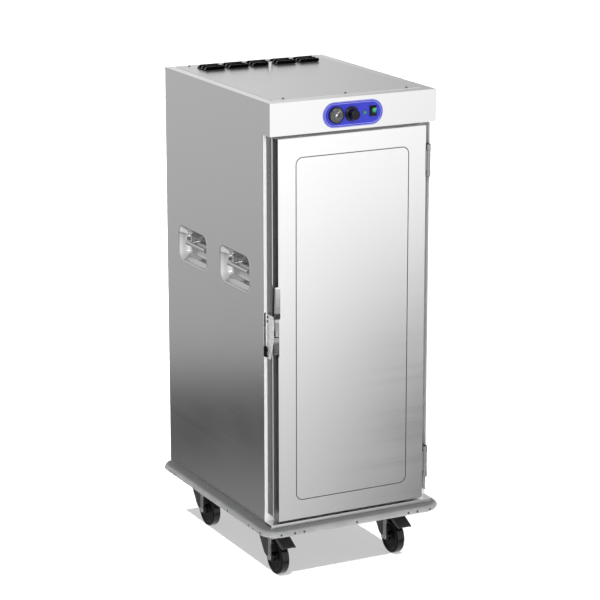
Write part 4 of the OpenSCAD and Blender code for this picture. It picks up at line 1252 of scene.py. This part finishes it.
@dataclass
class ControlPanel:
    """Foil, thermometer, knob, lamp and rocker in the header."""

    sweep: float = math.radians(270)
    tick_count: int = 25
    tick: Point = (0.0024, 0.00032, 0.00008)
    tick_ring: float = 0.74
    tick_rise: float = 0.00024
    scale: Tuple[int, ...] = (0, 30, 60, 90, 120)
    number_ring: float = 0.52
    number_rise: float = 0.00021
    number_height: float = 0.0052
    print_depth: float = 0.00003
    plate_ring: float = 0.885
    plate_depth: float = 0.0002
    plate_behind: float = 0.0021  # from the window's back to the plate's

    def build(self) -> None:
        """Builds and dresses every control."""
        low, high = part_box("control_fascia")
        middle = tuple((low + high) / 2)
        foil = FasciaFoil("control_foil_blue", middle, high.x - low.x, high.z - low.z)
        bare({"control_fascia": foil, "thermometer_case": BLACK_GLOSS,
              "thermometer_pointer": WHITE, "thermometer_lens": WINDOW,
              "thermostat_body": CERAMIC, "indicator_lamp": GREEN_LAMP, "power_inlet": BLACK_MATT})
        self.dial()
        knob = "thermostat_knob"
        softened(knob, knob, "black_plastic", BLACK_GLOSS, 0.0012, 3)
        softened("rocker_housing", "cart", "matt_black_plastic", BLACK_GLOSS, 0.0006)
        # the rocker's lower and left parts get painted shade through its box
        box = tuple(tuple(corner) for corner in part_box("rocker"))
        green = LitPlastic("rocker_green", (0.002, 0.26, 0.11), 0.2, box)
        softened("rocker", "rocker", "green_lens", green, 0.0007)

    def dial(self) -> None:
        """Prints the thermometer's scale on a plate behind its pointer."""
        low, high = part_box("thermometer_case")
        centre = (low + high) / 2
        radius = (high.x - low.x) / 2
        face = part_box("thermometer_lens")[1].y + self.plate_behind
        rim = radius * self.plate_ring
        outline = [(0, 0), (rim, 0), (rim, self.plate_depth), (0, self.plate_depth)]
        plate = lathed("dial_plate", outline, (centre.x, face, centre.z), (0, -1, 0), 64)
        fitted(dressed(plate, DIAL_GREY), "cart", "black_plastic")
        upright = Matrix.Rotation(math.pi / 2, 4, "X")
        ticks = self.ticks(radius * self.tick_ring)
        stand = Matrix.Translation((centre.x, face - self.tick_rise, centre.z)) @ upright
        ticks.data.transform(stand)
        fitted(ticks, "cart", "black_plastic")
        work = bmesh.new()
        for i, number in enumerate(self.scale):
            angle = math.radians(225) - self.sweep * i / (len(self.scale) - 1)
            reach = radius * self.number_ring
            place = (centre.x + reach * math.cos(angle), face - self.number_rise,
                     centre.z + reach * math.sin(angle))
            mesh = self.number(str(number))
            mesh.transform(Matrix.Translation(place) @ upright)
            work.from_mesh(mesh)
        numbers = linked("dial_numbers", kept("dial_numbers", work))
        fitted(dressed(numbers, DIAL_NUMBERS), "cart", "black_plastic")

    def ticks(self, radius: float) -> bpy.types.Object:
        """Grows the scale's ticks on an arc.

        Args:
            radius: Radius of the arc.

        Returns:
            The ticks, flat about the origin.
        """
        rule = Rule("tick_rule")
        count = rule.size("Ticks", "Int", self.tick_count)
        reach = rule.size("Scale Radius", "Float", radius)
        ink = rule.size("Print", "Material", DIAL_MARKS.material())
        first = math.radians(-45)
        arc = rule.add("GeometryNodeCurveArc", {"mode": "RADIUS"}, {
            "Resolution": count, "Radius": reach, "Start Angle": first, "Sweep Angle": self.sweep})
        points = rule.add("GeometryNodeCurveToPoints", {"mode": "COUNT"}, {0: arc, "Count": count})
        bar = rule.add("GeometryNodeMeshCube", feeds={"Size": self.tick})
        step = self.sweep / (self.tick_count - 1)
        turn = rule.maths("MULTIPLY", rule.add("GeometryNodeInputIndex"), step)
        rule.finish(rule.add("GeometryNodeInstanceOnPoints", feeds={
            "Points": points, "Instance": bar,
            "Rotation": rule.vector(z=rule.maths("ADD", turn, first))}), ink)
        return rule.grown("dial_ticks", bpy.data.meshes.new("dial_ticks"))

    def number(self, text: str) -> bpy.types.Mesh:
        """Makes one number's mesh.

        Args:
            text: The number.

        Returns:
            The mesh, flat about the origin.
        """
        curve = bpy.data.curves.new("number", "FONT")
        curve.body = text
        curve.size = self.number_height
        curve.align_x = curve.align_y = "CENTER"
        curve.extrude = self.print_depth
        letters = linked("number", curve)
        mesh = evaluated(letters)
        bpy.data.objects.remove(letters)
        return mesh


@dataclass
class DoorLeaf:
    """The door's sheets, seal and hinges."""

    rounding: float = 0.0005
    leaf_rounding: float = 0.0004
    margin: float = 0.04
    groove: float = 0.0016
    top_zone: float = 0.003

    def build(self) -> None:
        """Rounds the outer sheet and the hinges' leaves, and dresses the rest."""
        low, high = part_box("door_skin")

        def in_groove(face: bpy.types.MeshPolygon) -> bool:
            """Tells whether a face lies in the pressed groove."""
            middle = face.center
            inside = low.x + self.margin < middle.x < high.x - self.margin
            level = low.z + self.margin < middle.z < high.z - self.margin
            return inside and level and low.y + 0.0001 < middle.y < low.y + self.groove

        def on_top(face: bpy.types.MeshPolygon) -> bool:
            """Tells whether a face lies on the door's upper edge."""
            return face.normal.z > 0.7 and face.center.z > high.z - self.top_zone

        # painted shade in the groove and on the side edges, painted light on the top edge
        accents = [(GROOVE_SHADE, in_groove), (EDGE, lambda face: abs(face.normal.x) > 0.9),
                   (PAINTED_LIGHT_STEEL, on_top)]
        softened("door_skin", "door", "stainless_door", SHEET_DOOR, self.rounding, 2, accents)
        for part, body in (("door", "door"), ("frame", "cart")):
            softened("hinge_%s_leaves" % part, body, "bright_steel", HINGE, self.leaf_rounding)
        bare({"door_inner_pan": SHEET_LINER, "door_insulation": WOOL,
              "door_gasket": BLACK_RUBBER, "hinge_pins": HINGE_PIN})


@dataclass
class Latch:
    """Keeper, rubber block, housing and lever."""

    def build(self) -> None:
        """Rounds the latch's pieces."""
        softened("latch_keeper", "cart", "zinc_steel", KEEPER, 0.0005)
        softened("latch_buffer", "cart", "black_rubber", BLACK_RUBBER, 0.0008)
        softened("latch_housing", "door", "bright_steel", SATIN, 0.0006)
        softened("latch_lever", "latch_lever", "bright_steel", LEVER, 0.0006, 3)


@dataclass
class Caster:
    """One swivel caster."""

    place: str
    braked: bool
    rib: float = 0.0015

    def build(self) -> None:
        """Dresses its fork, wheel and axle, and its pedal if it has one."""
        fork, wheel, pedal = ("%s_%s" % (part, self.place) for part in ("fork", "wheel", "pedal"))
        low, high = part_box(fork)

        def on_rib(face: bpy.types.MeshPolygon) -> bool:
            """Tells whether a face lies on a leg's raised rib."""
            return min(face.center.x - low.x, high.x - face.center.x) < self.rib

        accents = [(TREAD, lambda face: abs(face.normal.x) < 0.6)]
        # painted shade on the fork's web and painted highlight on its ribs
        softened(fork, "caster_" + self.place, "zinc_steel", PLATED, 0.0006, 2, [(RIB_HIGHLIGHT, on_rib)])
        softened(wheel, wheel, "black_rubber", WHEEL, 0.0012, 2, accents)
        bare({"axle_" + self.place: BRIGHT})
        if self.braked:
            softened(pedal, pedal, "matt_black_plastic", BLACK_MATT, 0.0007)


@dataclass
class Undercarriage:
    """The wrap-round bumper and the casters."""

    casters: Tuple[Caster, ...] = (
        Caster("front_left", True), Caster("front_right", True),
        Caster("rear_left", False), Caster("rear_right", False))

    def build(self) -> None:
        """Dresses the bumper and builds the casters."""
        bare({"bumper_corners": BUMPER, "bumper_rails": BUMPER, "caster_plates": PLATED})
        for caster in self.casters:
            caster.build()


@dataclass
class Chamber:
    """Heating, rack and water pan inside the cart."""

    def build(self) -> None:
        """Dresses each piece."""
        bare({"fan_motor": MOTOR, "fan_wheel": RACK, "heater_element": ELEMENT,
              "ceiling_baffle": SHEET_LINER, "water_pan": SHEET_LINER, "rack_uprights": RACK,
              "tray_runners": RACK})


@dataclass
class Studio:
    """Floor, lights, surroundings and camera."""

    eye: Point = (-3.7925, -7.3948, 3.0676)
    heading: float = 27.2128
    tilt: float = 14.7729
    lens: float = 147.567
    roll: float = 0.0574
    reach: float = 1.5
    even: float = 0.58
    under: float = 0.75
    albedo: float = 0.15
    lift: float = 0.50
    half_floor: float = 60.0
    sun_angle: float = 0.8
    suns: Tuple[Tuple[str, Point, float], ...] = (
        ("left_sun", (0.108, 0.142, -0.196), 16.0), ("right_sun", (-0.094, 0.0, -0.196), 14.0))
    box_place: Point = (-1.6, -3.2, 3.6)
    box_target: Point = (0.0, 0.0, 0.9)
    box_size: Pair = (2.4, 1.6)
    box_power: float = 60.0
    front_left: Tuple[Pair, ...] = (
        (0.0, 0.40), (0.136, 0.50), (0.212, 0.64), (0.29, 0.80), (0.37, 0.90), (0.46, 0.98),
        (1.0, 0.90))
    front_right: Tuple[Pair, ...] = (
        (0.0, 0.15), (0.136, 0.04), (0.173, 0.0), (0.212, 0.03), (0.29, 0.36), (0.37, 0.74),
        (0.46, 0.78), (1.0, 0.68))
    side: Tuple[Pair, ...] = (
        (0.0, 0.22), (0.136, 0.21), (0.17, 0.11), (0.205, 0.01), (0.222, 0.14), (0.250, 0.37),
        (0.29, 0.37), (0.37, 0.41), (0.46, 0.45), (0.8, 0.50), (1.0, 0.56))
    ground: bpy.types.Collection = field(
        default_factory=lambda: bpy.data.collections.new("ground"))

    def floor(self) -> None:
        """Lays a plain pale floor that glossy faces don't pick up."""
        mesh = bpy.data.meshes.new("studio_floor")
        far = self.half_floor
        corners = [(-far, -far, 0), (far, -far, 0), (far, far, 0), (-far, far, 0)]
        mesh.from_pydata(corners, [], [(0, 1, 2, 3)])
        piece = linked("studio_floor", mesh)
        material = bpy.data.materials.new("pale_floor")
        material.use_nodes = True
        graph = Graph(material.node_tree)
        matt = graph.node("ShaderNodeBsdfDiffuse", feeds={"Color": (self.albedo,) * 3})
        glow = graph.node("ShaderNodeEmission", feeds={"Color": (1, 1, 1), "Strength": self.lift})
        both = graph.node("ShaderNodeAddShader", feeds={0: matt, 1: glow})
        graph.node("ShaderNodeOutputMaterial", feeds={"Surface": both})
        piece.data.materials.append(material)
        piece.visible_glossy = False
        self.ground.objects.link(piece)

    def surroundings(self) -> None:
        """Makes the soft surroundings that the steel reflects, by height and by side."""
        world = bpy.data.worlds.new("studio")
        bpy.context.scene.world = world
        world.use_nodes = True
        graph = Graph(world.node_tree)
        across, back, up = graph.axes(graph.node("ShaderNodeTexCoord", out="Generated"))
        height = (up + 0.40) / 0.5
        left, right, side = (graph.node("ShaderNodeValToRGB", {"stops": stops}, {0: height})
                             for stops in (self.front_left, self.front_right, self.side))
        aside = (across / (-back).at_least(0.05)).eased(0.515, 0.585)
        fade = (across / back.at_least(0.05)).eased(0.485, 0.60) * up.above(0.0) * 0.42
        front = (across * 0.44 - back * 0.90).eased(-0.75, 0.75)
        level = graph.blend(front, graph.blend(fade, side, (0, 0, 0)),
                            graph.blend(aside, left, right))
        level = graph.blend((-up).eased(0.45, 0.70), level, (self.under,) * 3)
        for ray, shade in (("Is Diffuse Ray", self.even), ("Is Camera Ray", 1 / self.reach)):
            level = graph.blend(graph.node("ShaderNodeLightPath", out=ray), level, (shade,) * 3)
        light = graph.node("ShaderNodeBackground", feeds={"Color": level, "Strength": self.reach})
        graph.node("ShaderNodeOutputWorld", feeds={"Surface": light})

    def lamps(self) -> None:
        """Hangs two suns that light the floor alone, and a soft front box."""
        for name, way, strength in self.suns:
            sun = bpy.data.lights.new(name, "SUN")
            sun.energy = strength
            sun.angle = math.radians(self.sun_angle)
            made = linked(name, sun)
            made.rotation_euler = Vector(way).to_track_quat("-Z", "Y").to_euler()
            made.light_linking.receiver_collection = self.ground
        soft = bpy.data.lights.new("front_box", "AREA")
        soft.energy = self.box_power
        soft.shape = "RECTANGLE"
        soft.size, soft.size_y = self.box_size
        made = linked("front_box", soft)
        made.location = self.box_place
        way = Vector(self.box_target) - Vector(self.box_place)
        made.rotation_euler = way.to_track_quat("-Z", "Y").to_euler()
        made.visible_camera = False

    def camera(self) -> None:
        """Sets the camera at the photograph's angle."""
        data = bpy.data.cameras.new("photo_camera")
        data.lens = self.lens
        data.sensor_width = 36.0
        data.clip_end = 200.0
        made = linked("photo_camera", data)
        turn, dip = math.radians(self.heading), math.radians(self.tilt)
        ahead = Vector((math.sin(turn) * math.cos(dip), math.cos(turn) * math.cos(dip),
                        -math.sin(dip)))
        made.location = self.eye
        made.rotation_mode = "QUATERNION"
        roll = Quaternion(ahead, math.radians(self.roll))
        made.rotation_quaternion = roll @ ahead.to_track_quat("-Z", "Y")
        bpy.context.scene.camera = made

    def build(self) -> None:
        """Builds the studio."""
        bpy.context.scene.view_settings.view_transform = "Standard"
        self.floor()
        self.surroundings()
        self.lamps()
        self.camera()


def main() -> None:
    """Builds the studio and the cart."""
    logging.basicConfig(level=logging.INFO, format="%(name)s: %(message)s")
    for assembly in (Studio(), BodyShell(), HandGrips(), Vents(), ControlPanel(), DoorLeaf(),
                     Latch(), Undercarriage(), Chamber()):
        LOG.info("building %s", type(assembly).__name__)
        assembly.build()


if __name__ == "__main__":
    main()
